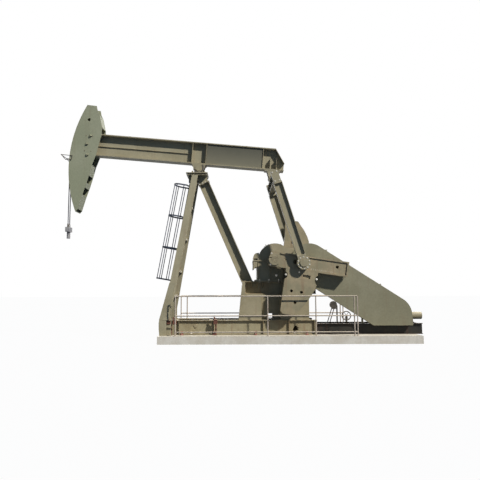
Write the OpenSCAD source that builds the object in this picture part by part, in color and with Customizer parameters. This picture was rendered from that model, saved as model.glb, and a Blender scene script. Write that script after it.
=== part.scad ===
// Crank-balanced beam pumping unit. X runs to the motor end, Y away from the near side, Z up.
// The origin is on the underside of the plinth, straight below the centre bearing.

/* [Linkage] */
// height of the centre bearing above the underside of the plinth
pivot_z = 7060; // [6500:10:7600]
// height of the crankshaft above the underside of the plinth
crank_z = 3225; // [3150:5:3400]
// distance of the crankshaft behind the centre bearing
crank_x = 3048; // [2900:2:3200]
// distance of the polished rod in front of the centre bearing
rod_reach = 5334; // [5200:2:5500]
// distance along the beam from the centre bearing to the tail bearing
tail_reach = 3046; // [2950:2:3150]
// drop of the tail bearing below the line of the centre bearing
tail_drop = 150; // [120:5:200]
// radius of the wrist pins on the cranks
crank_radius = 1100; // [1000:5:1200]
// slope of the walking beam, front end up
beam_tilt = 4.94; // [0:0.02:10]
// slope of the cranks below the level
crank_dip = 8.4; // [0:0.1:15]

/* [Walking beam and horse head] */
// depth of the walking beam
beam_depth = 914; // [800:2:1000]
// width of the walking beam flanges
beam_width = 420; // [360:5:480]
// thickness of the beam flanges
beam_flange = 40; // [28:1:55]
// thickness of the beam web
beam_web = 26; // [18:1:40]
// height of the underside of the beam above the centre bearing
beam_seat = 165; // [150:1:200]
// half of the angle that the horse head arc spans
head_half_angle = 25; // [22:0.5:28]
// distance between the outer faces of the head side plates
head_width = 620; // [560:5:700]
// diameter of each of the two wire ropes
rope_d = 36; // [24:1:40]
// distance between the two wire ropes
rope_gap = 200; // [180:5:280]

/* [Cranks and counterweights] */
// length of each crank from the shaft to its tip
crank_length = 2860; // [2700:5:2880]
// width of each crank, flange to flange
crank_width = 580; // [500:5:620]
// thickness of each crank across its rims
crank_thick = 300; // [260:5:340]
// distance from the middle plane to the inner face of each crank
crank_inner = 900; // [880:5:960]
// distance from the middle plane to the middle of each pitman
pitman_y = 1350; // [1320:5:1420]

/* [Base and post] */
// length of the concrete plinth
plinth_length = 10030; // [9500:10:10600]
// width of the concrete plinth
plinth_width = 2840; // [2700:10:3200]
// thickness of the concrete plinth
plinth_thick = 300; // [200:10:320]
// height of the main base rails
rail_height = 575; // [500:5:620]
// distance between the outer faces of the base rails
base_width = 1600; // [1500:10:1640]
// height of the lower rear skid
skid_height = 420; // [360:5:480]
// height of the guard railing above the plinth
railing_height = 1500; // [1300:10:1530]

/* [Gear reducer and drive] */
// height of the pedestal above the base rails
pedestal_height = 1000; // [900:10:1050]
// height of the frame between the pedestal and the reducer
sub_base_height = 506; // [450:2:520]
// radius of the round top of the reducer case
case_radius = 670; // [600:5:700]
// width of the reducer case
case_width = 1000; // [900:10:1040]
// radius of the round ends of the belt guard
guard_radius = 745; // [680:5:760]
// width of the belt guard
guard_width = 205; // [190:5:210]

/* [Hidden] */
$fn = 48;

olive = [0.50, 0.48, 0.39];
head_olive = [0.49, 0.50, 0.41];
grey_rail = [0.62, 0.58, 0.53];
cage_grey = [0.30, 0.33, 0.38];
concrete = [0.72, 0.69, 0.64];
clamp_red = [0.45, 0.20, 0.15];
dark_steel = [0.22, 0.22, 0.21];
rope_steel = [0.45, 0.47, 0.50];
motor_tan = [0.66, 0.58, 0.42];

rest = 0.3;              // play that a seated piece keeps
plinth_top = plinth_thick;
rail_top = plinth_top + rail_height;
skid_top = plinth_top + skid_height;
plinth_front = -1430;
plinth_rear = plinth_front + plinth_length;
skid_rear = plinth_rear + 280;
rail_front = -1100;
rail_rear = 4700;
rail_flange = 200;
rail_y = base_width / 2 - rail_flange / 2;
skid_y = 500;
pedestal_top = rail_top + pedestal_height;
sub_top = pedestal_top + sub_base_height;
sub_y = 340;
pedestal_y = base_width / 2 - 60;

// The linkage at rest: the tail bearing and the wrist pin fix the length of the pitmans.
tail_x = tail_reach * cos(beam_tilt) - tail_drop * sin(beam_tilt);
tail_z = pivot_z - tail_reach * sin(beam_tilt) - tail_drop * cos(beam_tilt);
wrist_x = crank_x + crank_radius * cos(crank_dip);
wrist_z = crank_z - crank_radius * sin(crank_dip);
pitman_length = norm([wrist_x - tail_x, tail_z - wrist_z]);
pitman_lean = atan2(wrist_x - tail_x, tail_z - wrist_z);

crank_outer = crank_inner + crank_thick;
crank_mid = crank_inner + crank_thick / 2;
half_crank = crank_width / 2;
shaft_r = 130;
pin_r = 85;
rope_r = rod_reach;
face_r = rope_r - rope_d / 2 - rest;
face_thick = 20;
head_y = head_width / 2;
plate_thick = 16;

// Draws its children in the frame of the walking beam: X along it to the tail, Z up from the pivot.
module on_beam() {
  translate([0, 0, pivot_z]) rotate([0, beam_tilt, 0]) children();
}

// Draws its children in the frame of the cranks: X along them to the tip.
module on_crank() {
  translate([crank_x, 0, crank_z]) rotate([0, crank_dip, 0]) children();
}

// Draws its children in the frame of the pitmans: Z up from the tail bearing, wrist pin below.
module on_pitman() {
  translate([tail_x, 0, tail_z]) rotate([0, -pitman_lean, 0]) children();
}

// A block given by its low and high corner.
module block(low, high) {
  translate(low) cube(high - low);
}

// A flat plate that lies in the XZ plane between two Y values.
module side_plate(points, y0, y1) {
  translate([0, y1, 0]) rotate([90, 0, 0]) linear_extrude(y1 - y0) polygon(points);
}

// A cylinder along Y between two Y values, through the point x, z.
module bar_y(x, z, r, y0, y1) {
  translate([x, y0, z]) rotate([-90, 0, 0]) cylinder(r = r, h = y1 - y0);
}

// A cylinder along X between two X values.
module bar_x(y, z, r, x0, x1) {
  translate([x0, y, z]) rotate([0, 90, 0]) cylinder(r = r, h = x1 - x0);
}

// An upright cylinder between two heights.
module bar_z(x, y, r, z0, z1) {
  translate([x, y, z0]) cylinder(r = r, h = z1 - z0);
}

// A round bar from one point to another.
module rod(a, b, r) {
  d = b - a;
  translate(a) rotate([0, acos(d[2] / norm(d)), atan2(d[1], d[0])])
    cylinder(r = r, h = norm(d));
}

// An I-beam along X, its web in the XZ plane, standing on z = 0.
module i_beam_x(x0, x1, height, width, flange, web) {
  translate([x0, 0, 0]) rotate([90, 0, 90]) linear_extrude(x1 - x0)
    i_shape(height, width, flange, web);
}

// The section of an I-beam, standing on y = 0.
module i_shape(height, width, flange, web) {
  translate([-width / 2, 0]) square([width, flange]);
  translate([-width / 2, height - flange]) square([width, flange]);
  translate([-web / 2, flange / 2]) square([web, height - flange]);
}

// An I-beam along Z from 0 to the length, flanges facing Y, depth along Y.
module i_beam_z(length, depth, width, flange, web) {
  linear_extrude(length) translate([0, -depth / 2]) i_shape(depth, width, flange, web);
}

module plinth() {
  color(concrete)
    block([plinth_front, -plinth_width / 2, 0], [plinth_rear, plinth_width / 2, plinth_top]);
}

// The lightening holes in the web of the near rail, each with a boss beside it.
rail_holes = [-166, 3862];

module base_rails() {
  color(olive) for (side = [-1, 1]) translate([0, side * rail_y, plinth_top]) {
    difference() {
      i_beam_x(rail_front, rail_rear, rail_height, rail_flange, 26, 18);
      if (side < 0) for (x = rail_holes) {
        side_plate([[x - 120, 172], [x + 120, 172], [x + 12, 350], [x - 38, 350]], -20, 20);
        bar_y(x - 35, 105, 60, -20, 20);
      }
    }
    if (side < 0) for (x = rail_holes) bar_y(x + 128, 348, 70, -40, -8);
    for (x = [-680, 690, 2600, 3600, 4600])
      block([x - 8, -rail_flange / 2 + 6, 10], [x + 8, rail_flange / 2 - 6, rail_height - 10]);
  }
}

module base_crosses() {
  inner = rail_y - 9 - rest;
  color(olive) for (x = [-900, 500, 1750, 3250, 4500]) {
    block([x - 75, -inner, plinth_top + 40], [x + 75, inner, plinth_top + 60]);
    block([x - 8, -inner, plinth_top + 40], [x + 8, inner, rail_top - 40]);
    block([x - 75, -inner, rail_top - 60], [x + 75, inner, rail_top - 40]);
  }
}

module motor_skid() {
  color(olive) {
    for (side = [-1, 1]) translate([0, side * skid_y, plinth_top])
      i_beam_x(rail_rear + rest, skid_rear, skid_height, 180, 22, 14);
    for (x = [rail_rear + 60, 5900, 7100, skid_rear - 30])
      block([x - 8, -skid_y, plinth_top + 30], [x + 8, skid_y, skid_top - 20]);
  }
}

module hold_downs() {
  color(clamp_red) for (side = [-1, 1]) for (x = [-560, 690, 2300, 4290])
    translate([0, side * (base_width / 2), 0]) {
      block([x - 60, min(side * rest, side * 90), plinth_top], [x + 60, max(side * rest, side * 90), plinth_top + 22]);
      bar_z(x, side * 55, 17, plinth_top, plinth_top + 110);
      translate([x, side * 55, plinth_top + 22]) cylinder(r = 34, h = 30, $fn = 6);
      block([x - 50, min(side * rest, side * 16), plinth_top + 20], [x + 50, max(side * rest, side * 16), plinth_top + 150]);
    }
}

post_top = 6731;
cap_thick = 84;
cap_top = post_top + cap_thick;
foot_y = 950;
head_of_leg = [-120, 300, post_top];
foot_of_leg = [-1160, foot_y, rail_top + 40];
leg_width = 250;
leg_depth = 260;

leg_rise = head_of_leg[2] - foot_of_leg[2];
lean_x = (head_of_leg[0] - foot_of_leg[0]) / leg_rise;
lean_y = (head_of_leg[1] - foot_of_leg[1]) / leg_rise;

// Draws its children along a front leg: the middle of its foot is the origin, and level stays level.
module on_leg(side) {
  translate([foot_of_leg[0], side * foot_of_leg[1], foot_of_leg[2]])
    multmatrix([[1, 0, lean_x, 0], [0, 1, side * lean_y, 0], [0, 0, 1, 0]]) children();
}

// The front edge of a leg's foot: it flares out from the leg and turns down to the plinth.
foot_front = concat(
  [[-1400, plinth_top], [-1425, 560], [-1427, 780]],
  [for (i = [0 : 6]) let (z = 920 + i * 235, k = (z - foot_of_leg[2]) / leg_rise)
    [foot_of_leg[0] + k * (head_of_leg[0] - foot_of_leg[0]) - leg_width / 2 - 125 * (2330 - z) / 1410, z]]);

// One of the two splayed front legs: an I-beam from the base to the cap, with its foot plates.
module front_leg(side) {
  color(olive) {
    on_leg(side) translate([0, 0, -20])
      i_beam_z(leg_rise + 20 - rest, leg_depth, leg_width, 20, 16);
    for (y = [-1, 1]) translate([0, side * foot_y + y * 112, 0]) side_plate(
      concat(foot_front, [[-800, 2330], [-949, 1591], [-1010, 1330], [-1131, 1020], [-1131, plinth_top]]), -10, 10);
    translate([0, side * foot_y, 0]) difference() {
      side_plate([[-1380, plinth_top], [-1380, 600], [-1100, 1400], [-960, 1400], [-960, plinth_top]], -9, 9);
      bar_y(-1040, 1090, 45, -20, 20);
    }
    block([foot_front[0][0], side * foot_y - 130, plinth_top], [-940, side * foot_y + 130, plinth_top + 30]);
    block([-1400, side * foot_y - 110, rail_top], [-960, side * foot_y + 110, rail_top + 24]);
  }
}

module post_leg_near() { front_leg(-1); }

module post_leg_far() { front_leg(1); }

rear_top = [235, 0, 6410];
rear_foot = [1985, 0, sub_top];

module post_leg_rear() {
  d = rear_top - rear_foot;
  lean = atan2(d[0], d[2]);
  color(olive) {
    difference() {
      translate(rear_foot) rotate([0, lean, 0]) translate([0, 0, -120])
        i_beam_z(norm(d) + 120, 300, 330, 24, 18);
      block([0, -500, 0], [4000, 500, sub_top + 24]);
    }
    block([rear_foot[0] - 215, -230, sub_top + rest], [rear_foot[0] + 215, 230, sub_top + 24]);
    translate(rear_top) rotate([0, lean, 0]) block([-230, -200, 0], [230, 200, 24]);
    difference() {
      translate(rear_top) rotate([0, lean, 0]) translate([0, 0, 24 + rest])
        i_beam_z(700, 300, 330, 24, 18);
      block([-3000, -500, post_top - rest], [3000, 500, 9000]);
    }
    translate(rear_top) rotate([0, lean, 0]) block([-230, -200, 24], [230, 200, 48]);
  }
}

// The middle of a front leg at a height, for the near side when side is -1.
function leg_at(z, side) =
  let (k = (z - foot_of_leg[2]) / (head_of_leg[2] - foot_of_leg[2]))
  [foot_of_leg[0] + k * (head_of_leg[0] - foot_of_leg[0]),
   side * (foot_of_leg[1] + k * (head_of_leg[1] - foot_of_leg[1])), z];

module post_braces() {
  color(olive) for (z = [1850, 2850, 4170, 5460]) {
    p = leg_at(z, 1);
    half = p[1] - leg_depth / 2 - 20;
    block([p[0] - 70, -half, z - 10], [p[0] + 90, half, z + 10]);
    block([p[0] + 70, -half, z - 90], [p[0] + 90, half, z + 10]);
    for (side = [-1, 1]) on_leg(side) {
      y = -side * (leg_depth / 2 + rest);
      block([-90, min(y, y - side * 30), z - foot_of_leg[2] - 120],
        [100, max(y, y - side * 30), z - foot_of_leg[2] + 60]);
    }
  }
}

module post_cap() {
  color(olive) {
    block([-490, -470, post_top], [390, 470, cap_top]);
    for (side = [-1, 1]) side_plate(
      [[-470, post_top], [-400, post_top - 300], [-340, post_top - 300], [-340, post_top]],
      side * 330 - 10, side * 330 + 10);
  }
}

housing_r = 210;
housing_in = 125;
housing_out = 235;

module centre_bearing() {
  low = cap_top + rest;
  inner = housing_in - 10;
  color(olive) {
    difference() {
      union() {
        bar_y(0, pivot_z, 120, -inner, inner);
        side_plate([[-230, low], [-115, pivot_z - 20], [115, pivot_z - 20], [230, low]], -inner, inner);
        block([-300, -housing_out, low], [300, housing_out, low + 24]);
        for (side = [-1, 1]) side_plate([[side * 290, low], [side * 290, low + 60], [side * 255, low + 120],
          [side * 225, low + 120], [side * 225, low]], -housing_out, housing_out);
      }
      bar_y(0, pivot_z, housing_r + 12, housing_in - 9, housing_out + 9);
      bar_y(0, pivot_z, housing_r + 12, -housing_out - 9, 9 - housing_in);
    }
    bar_y(0, pivot_z, 94.7, 5 - housing_out, housing_out - 5);
  }
}

ladder_y = 190;

// The line of the ladder stiles, in front of the post.
function ladder_at(z) = let (p = leg_at(z, 1)) [p[0] - 250, 0, z];

module ladder() {
  low = ladder_at(plinth_top + 60);
  high = ladder_at(6600);
  color(cage_grey) {
    for (side = [-1, 1]) rod(low + [0, side * ladder_y, 0], high + [0, side * ladder_y, 0], 22);
    for (i = [1 : 20]) {
      p = ladder_at(plinth_top + 60 + i * 300);
      bar_y(p[0], p[2], 12, -ladder_y, ladder_y);
    }
    for (z = [1850, 2850, 4170, 5460]) {
      p = ladder_at(z);
      for (side = [-1, 1]) block([p[0], side * ladder_y - 8, z - 20], [leg_at(z, 1)[0] - 70, side * ladder_y + 8, z + 20]);
    }
  }
}

cage_heights = [2470, 3740, 5040, 6330];
cage_r = 335;
cage_set = 215;
cage_bar = 14;
cage_bar_r = cage_r - 8 - cage_bar - rest;

module cage_hoops() {
  color(cage_grey) {
    for (z = cage_heights) {
      p = ladder_at(z);
      translate([p[0] - cage_set, 0, z - 30]) difference() {
        cylinder(r = cage_r, h = 60);
        translate([0, 0, -1]) cylinder(r = cage_r - 8, h = 62);
        block([cage_set - 70, -400, -2], [500, 400, 70]);
      }
      for (side = [-1, 1]) {
        block([p[0] - 75, min(side * (ladder_y + 22 + rest), side * 306), z - 30],
          [p[0] - 65, max(side * (ladder_y + 22 + rest), side * 306), z + 30]);
        block([p[0] - 75, min(side * (ladder_y + 22 + rest), side * (ladder_y + 32)), z - 30],
          [p[0] + 12, max(side * (ladder_y + 22 + rest), side * (ladder_y + 32)), z + 30]);
      }
    }
  }
}

// The upright bars of the cage, which stand against the inside of its hoops.
module cage_bars() {
  color(cage_grey) for (a = [-110, -55, 0, 55, 110]) {
    r = cage_bar_r - (30 * lean_x + 0.25) * abs(cos(a));
    x = -cage_set - r * cos(a);
    y = r * sin(a);
    rod(ladder_at(cage_heights[0] - 30) + [x, y, 0], ladder_at(cage_heights[3] + 30) + [x, y, 0], cage_bar);
  }
}

pedestal_front = 1640;
ear_front = 1790;
ear_rear = 1900;
ear_top = sub_top - 30 - rest;

module pedestal() {
  color(olive) difference() {
    union() {
      side_plate([[pedestal_front, rail_top + rest], [ear_front, ear_top], [ear_rear, ear_top],
        [ear_rear, pedestal_top], [2540, pedestal_top], [2540, rail_top + rest]], -pedestal_y, pedestal_y);
      block([3270, -pedestal_y, rail_top + rest], [4400, pedestal_y, pedestal_top]);
      block([2500, -pedestal_y + 240, rail_top + rest], [3300, pedestal_y - 240, pedestal_top]);
    }
    for (x = [[ear_rear - 16, 2524], [3286, 4384]]) block([x[0], -pedestal_y + 16, rail_top - 1],
      [x[1], pedestal_y - 16, pedestal_top - 16]);
    side_plate([[pedestal_front + 16, rail_top - 1], [ear_front + 16, ear_top - 16],
      [ear_rear - 15, ear_top - 16], [ear_rear - 15, rail_top - 1]], -pedestal_y + 16, pedestal_y - 16);
    block([2524, -pedestal_y + 256, rail_top + 16], [3286, pedestal_y - 256, pedestal_top - 16]);
    block([2796, -900, rail_top + 30], [3029, 900, rail_top + 262]);
  }
}

sub_front = ear_rear + rest;
sub_rear = 4720;
top_plate_y = 600;

module sub_base() {
  web_y = sub_y + 20;
  color(olive) {
    for (side = [-1, 1]) translate([0, side * sub_y, pedestal_top + rest])
      i_beam_x(sub_front, sub_rear, sub_base_height - 2 * rest, 220, 30, 20);
    for (x = [sub_front + 12, 2500, 3400, sub_rear - 12])
      block([x - 12, -sub_y - 60, pedestal_top + 30], [x + 12, sub_y + 60, sub_top - 30]);
    block([1765, -top_plate_y, sub_top - 30], [sub_rear, top_plate_y, sub_top - rest]);
    block([1765, -pedestal_y, sub_top - 30], [ear_rear, pedestal_y, sub_top - rest]);
    for (side = [-1, 1]) for (x = [2150, 2380, 2610, 3600, 4100])
      translate([x - 8, 0, 0]) rotate([90, 0, 90]) linear_extrude(16) polygon([
        [side * sub_y, sub_top - 20], [side * (top_plate_y - 10), sub_top - 20],
        [side * (top_plate_y - 10), sub_top - 70], [side * web_y, sub_top - 260], [side * sub_y, sub_top - 260]]);
  }
}

case_rear = 4700;
case_shift = 50;
split_z = crank_z;
input_x = 4430;
input_z = 3120;

// The lifting lugs on the front of the case, above and below its split flange.
lug_width = 120;
upper_lug = [[2460, 3520], [2330, 3500], [2262, 3440], [2240, 3300], [2329, 3290], [2460, 3290]];
lower_lug = [[2225, 3185], [2232, 3000], [2222, 2860], [2262, 2862], [2300, 2930], [2385, 2950], [2385, 3185]];

module gear_case() {
  half = case_width / 2;
  color(olive) difference() {
    union() {
      bar_y(crank_x + case_shift, crank_z, case_radius, -half, half);
      block([crank_x - case_radius, -half, sub_top], [case_rear - 60, half, split_z]);
      side_plate([[crank_x, split_z - 10], [crank_x + 430, crank_z + 512], [4500, crank_z + 330],
        [4640, crank_z + 200], [4640, split_z - 10]], -half, half);
      block([crank_x - case_radius - 160, -half - 60, split_z - 45], [case_rear, half + 60, split_z + 5]);
      block([crank_x - case_radius - 90, -half - 80, sub_top], [case_rear - 20, half + 80, sub_top + 60]);
      for (x = [2420, 2900, 3400, 3900, 4500]) block([x - 10, -half - 55, sub_top + 40],
        [x + 10, half + 55, split_z - 30]);
      for (y = [-half, half - lug_width]) side_plate(upper_lug, y, y + lug_width);
      for (y = [-half - 40, half - 40]) side_plate(lower_lug, y, y + 80);
      bar_y(crank_x, crank_z, 300, -half - 80, half + 80);
      bar_y(3760, crank_z - 20, 190, -half - 70, half + 70);
      bar_y(input_x, input_z, 150, -half - 70, half + 70);
    }
    bar_y(crank_x, crank_z, shaft_r + rest, -half - 100, half + 100);
  }
}

module bearing_caps() {
  half = case_width / 2 + 80;
  color(olive) for (side = [-1, 1]) {
    y0 = side > 0 ? half + rest : -half - rest - 60;
    difference() {
      bar_y(crank_x, crank_z, 270, y0, y0 + 60);
      bar_y(crank_x, crank_z, shaft_r + rest, y0 - 1, y0 + 61);
    }
    y1 = side > 0 ? half - 10 + rest : -half + 10 - rest - 25;
    bar_y(3760, crank_z - 20, 165, y1, y1 + 25);
  }
}

guard_outer = 805;
guard_inner = guard_outer - guard_width;
motor_x = 7670;
guard_end_z = 1040;
motor_z = 1165;
guard_floor = 650;

// The outline of the belt guard, drawn in the XZ plane.
module guard_shape(grow) {
  difference() {
    hull() {
      translate([input_x, input_z]) circle(r = guard_radius + grow, $fn = 96);
      translate([motor_x, guard_end_z]) circle(r = guard_radius + grow, $fn = 96);
      translate([8300, guard_floor - grow]) square([132 + grow, 200]);
    }
    translate([3000, -2000]) square([8000, 2000 + guard_floor - grow]);
  }
}

module belt_guard() {
  y = -guard_inner;
  color(olive) {
    difference() {
      translate([0, y, 0]) rotate([90, 0, 0]) linear_extrude(guard_width) guard_shape(0);
      translate([0, y + 1, 0]) rotate([90, 0, 0]) linear_extrude(guard_width - 7) guard_shape(-6);
    }
    block([6470, y - 40, skid_top + rest], [6530, y + 40, 1090]);
    block([8170, y - 40, guard_floor], [8230, y + 8, skid_top + 40]);
    block([8170, y - 40, skid_top + rest], [8230, y + 40, skid_top + 40]);
    for (x = [5100, 7200]) {
      z = input_z + guard_radius / cos(32.8) - (x - input_x) * tan(32.8);
      translate([x, y - 150, z]) rotate([0, 32.8, 0]) block([-30, -8, -8], [30, 8, 46]);
    }
  }
}

sheave_y = -guard_outer + 14;
sheave_width = 176;
drive_r = 620;
motor_sheave_r = 190;

module drive_sheave() {
  color(dark_steel) {
    difference() {
      bar_y(input_x, input_z, drive_r, sheave_y, sheave_y + sheave_width);
      bar_y(input_x, input_z, drive_r - 60, sheave_y - 1, sheave_y + sheave_width + 1);
    }
    bar_y(input_x, input_z, 120, sheave_y, sheave_y + sheave_width);
    bar_y(input_x, input_z, 55, sheave_y + 20, -case_width / 2 - 70 - rest);
    for (a = [0 : 60 : 120]) translate([input_x, sheave_y + 70, input_z]) rotate([0, a + 15, 0])
      block([-drive_r + 50, 0, -45], [drive_r - 50, 40, 45]);
  }
}

module motor_sheave() {
  color(dark_steel) {
    bar_y(motor_x, motor_z, motor_sheave_r, sheave_y, sheave_y + sheave_width);
    bar_y(motor_x, motor_z, 42, sheave_y, sheave_y + 210);
  }
}

module belt_line(grow) {
  hull() {
    translate([input_x, input_z]) circle(r = drive_r + grow, $fn = 96);
    translate([motor_x, motor_z]) circle(r = motor_sheave_r + grow, $fn = 96);
  }
}

module vee_belts() {
  color(dark_steel) translate([0, sheave_y + sheave_width - 15, 0]) rotate([90, 0, 0])
    linear_extrude(sheave_width - 30) difference() {
      belt_line(16);
      belt_line(rest + 0.35);
    }
}

motor_near = sheave_y + 210 + rest;
motor_far = motor_near + 1150;
motor_r = 330;
motor_foot = motor_z - 370;

module motor() {
  color(olive) {
    bar_y(motor_x, motor_z, motor_r, motor_near + 60, motor_far - 120);
    bar_y(motor_x, motor_z, motor_r - 50, motor_near, motor_far);
    for (a = [-60 : 15 : 60]) translate([motor_x, 0, motor_z]) rotate([0, a, 0])
      block([-5, motor_near + 120, motor_r - 10], [5, motor_far - 200, motor_r + 24]);
    for (side = [-1, 1]) for (y = [motor_near + 150, motor_far - 330])
      block([motor_x + side * 260 - 90, y, motor_foot], [motor_x + side * 260 + 90, y + 120, motor_z - 120]);
  }
  color(motor_tan) {
    bar_x(-200, motor_z - 160, 125, motor_x + motor_r - 100, motor_x + motor_r + 800);
    bar_x(-200, motor_z - 160, 145, motor_x + motor_r + 560, motor_x + motor_r + 960);
  }
}

module motor_rails() {
  z1 = motor_foot - rest;
  color(olive) for (y = [motor_near + 210, motor_far - 270]) {
    block([motor_x - 620, y - 70, skid_top + rest], [motor_x + 620, y + 70, skid_top + 20]);
    block([motor_x - 620, y - 60, skid_top + 10], [motor_x + 620, y - 40, z1 - 10]);
    block([motor_x - 620, y + 40, skid_top + 10], [motor_x + 620, y + 60, z1 - 10]);
    block([motor_x - 620, y - 70, z1 - 20], [motor_x + 620, y + 70, z1]);
  }
}

brake_y = case_width / 2 + 70;

module brake() {
  color(dark_steel) {
    bar_y(input_x, input_z, 60, brake_y + rest, brake_y + 130);
    difference() {
      bar_y(input_x, input_z, 330, brake_y + 40, brake_y + 160);
      bar_y(input_x, input_z, 300, brake_y + 60, brake_y + 161);
    }
  }
}

module brake_stand() {
  color(dark_steel) {
    for (x = [5560, 5660]) rod([x - 330, 690, plinth_top + rest + 8], [x, 690, 1330], 18);
    block([5560, 650, 1240], [5720, 730, 1330]);
    bar_y(5610, 1420, 150, 640, 760);
    bar_z(5760, 690, 30, plinth_top + rest, 1390);
    block([5100, 610, plinth_top + rest], [6300, 770, plinth_top + 14]);
    bar_z(6150, 690, 40, plinth_top + rest, 820);
    translate([6150, 690, 960]) rotate([90, 0, 0]) rotate_extrude() translate([180, 0]) circle(r = 20, $fn = 24);
    for (a = [0 : 60 : 120]) translate([6150, 690, 960]) rotate([0, a, 0]) bar_x(0, 0, 10, -175, 175);
    bar_y(6150, 960, 45, 640, 740);
    block([6110, 660, 800], [6190, 720, 960]);
  }
}

railing_y = plinth_width / 2 - 70;
railing_z = plinth_top + railing_height;
post_r = 22;

module railing(side) {
  y = side * railing_y;
  front = side < 0 ? -760 : -833;
  rear = 6150;
  posts = side < 0 ? [front, 2740, 4570, rear - 120, rear] : [front, -572, 2740, 4570, rear - 120, rear];
  color(grey_rail) {
    for (z = [railing_z, plinth_top + 760, plinth_top + 150]) bar_x(y, z, post_r, front, rear);
    for (x = posts) {
      bar_z(x, y, post_r, plinth_top, railing_z);
      bar_z(x, y, 55, plinth_top, plinth_top + 12);
    }
  }
}

module railing_near() { railing(-1); }

module railing_far() { railing(1); }

module crank_shaft() {
  color(dark_steel) bar_y(crank_x, crank_z, shaft_r, -crank_outer + 12, crank_outer - 12);
}

// One crank: a thick web with rims along its long edges and a split boss round the shaft.
module crank(side) {
  y0 = side > 0 ? crank_inner : -crank_outer;
  y1 = y0 + crank_thick;
  hole_r = shaft_r + rest;
  color(olive) on_crank() difference() {
    union() {
      side_plate([[-195, -half_crank + 25], [-195, half_crank - 40], [-150, half_crank], [crank_length, half_crank], [crank_length, -half_crank],
        [600, -half_crank], [-60, -half_crank + 10]],
        y0 + (side > 0 ? 8 : 40), y1 - (side > 0 ? 40 : 8));
      block([200, y0, -half_crank], [crank_length, y1, -half_crank + 55]);
      block([200, y0, half_crank - 55], [crank_length, y1, half_crank]);
      block([crank_length - 60, y0, -half_crank], [crank_length, y1, half_crank]);
      bar_y(0, 0, 235, y0, y1);
    }
    bar_y(0, 0, hole_r, y0 - 1, y1 + 1);
    bar_y(2430, 35, 60, y0 - 1, y1 + 1);
    for (u = [crank_radius - 305, crank_radius, crank_radius + 152]) if (u != crank_radius)
      bar_y(u, 0, pin_r, y0 - 1, y1 + 1);
    bar_y(390, 25, 48, y0 - 1, y1 + 1);
    block([-260, y0 - 1, 20], [-100, y1 + 1, 44]);
  }
}

module crank_near() { crank(-1); }

module crank_far() { crank(1); }

weight_inner = 850;
weight_outer = 1200;

// The outline of a counterweight below a crank, in the frame of the crank.
low_weight = [
  [470, 0], [470, 110], [560, 190], [560, 330], [470, 420], [470, 1640], [560, 1740], [960, 1740],
  [1180, 1560], [1400, 1220], [1560, 940], [1690, 640], [1720, 480], [1640, 380], [1640, 180],
  [1720, 110], [1720, 0]
];
// The outline of the counterweight above the far crank; the near crank carries none.
high_weight = [
  [440, 0], [430, 540], [413, 882], [393, 1153], [362, 1400], [435, 1548], [796, 1600], [896, 1597],
  [1056, 1406], [1160, 1300], [1239, 1198], [1358, 1019], [1464, 804], [1500, 420], [1500, 0]
];

module weight(side, low) {
  y0 = side > 0 ? weight_inner : -weight_outer + (low ? 0 : 60);
  y1 = side > 0 ? weight_outer - (low ? 0 : 60) : -weight_inner;
  points = low ? low_weight : high_weight;
  flip = low ? -1 : 1;
  shape = [for (p = points) [p[0], flip * (p[1] + half_crank + rest)]];
  color(olive) on_crank() difference() {
    side_plate(shape, y0, y1);
    if (low) for (p = [[795, 832], [1182, 830], [987, 1254]])
      bar_y(p[0], -half_crank - p[1], 55, y0 - 1, y1 + 1);
    if (low) block([1150, side > 0 ? y1 - 60 : y0 - 1, -half_crank - 290],
      [1440, side > 0 ? y1 + 1 : y0 + 60, -half_crank - 150]);
    if (!low) bar_y(766, half_crank + 664, 50, y0 - 1, y1 + 1);
  }
}

module weight_near_low() { weight(-1, true); }

module weight_far_low() { weight(1, true); }

module weight_far_high() { weight(1, false); }

beam_front = -4480;
beam_rear = 3510;
beam_low = beam_seat;
beam_high = beam_seat + beam_depth;
box_front = 265;
box_rear = 2620;

module walking_beam() {
  half = beam_width / 2;
  color(olive) on_beam() {
    side_plate([[beam_front, beam_low], [beam_front, beam_high], [beam_rear - 400, beam_high],
      [beam_rear, beam_low + 310], [beam_rear, beam_low]], -beam_web / 2, beam_web / 2);
    block([beam_front, -half, beam_low], [beam_rear, half, beam_low + beam_flange]);
    block([beam_front, -half, beam_high - beam_flange], [beam_rear - 400, half, beam_high]);
    for (x = [-316, box_front, box_rear, 2930, 3175])
      block([x - 10, -half + 8, beam_low + 10], [x + 10, half - 8, beam_high - (x > 3000 ? 130 : 10)]);
    side_plate([[beam_rear - 400, beam_high - beam_flange], [beam_rear - 400, beam_high],
      [beam_rear, beam_low + 310], [beam_rear - 26, beam_low + 290]], -half + 60, half - 60);
    for (x = [-2990, 1915]) {
      block([x - 40, -8, beam_high - 5], [x + 40, 8, beam_high + 60]);
    }
  }
}

module beam_boxes() {
  y = beam_width / 2 - 8;
  color(olive) on_beam() for (side = [-1, 1]) {
    y0 = side > 0 ? y - 24 : -y;
    block([box_front + 10 + rest, y0, beam_low + beam_flange + rest],
      [box_rear - 10 - rest, y0 + 24, beam_high - beam_flange - rest]);
  }
}

module saddle() {
  color(olive) on_beam() {
    block([-310, -housing_out, beam_low - 30], [300, housing_out, beam_low - rest]);
    for (side = [-1, 1]) {
      y0 = side > 0 ? housing_in : -housing_out;
      y1 = side > 0 ? housing_out : -housing_in;
      difference() {
        union() {
          bar_y(0, 0, housing_r, y0, y1);
          side_plate([[-275, beam_low - 20], [-204, -50], [204, -50], [275, beam_low - 20]], y0, y1);
        }
        bar_y(0, 0, 95, y0 - 1, y1 + 1);
        block([-housing_r, y0 - 1, beam_low - rest], [housing_r, y1 + 1, housing_r + 10]);
      }
      bar_y(0, 0, 130, side > 0 ? y1 - 1 : y0 - 24, side > 0 ? y1 + 24 : y0 + 1);
    }
  }
}

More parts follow.
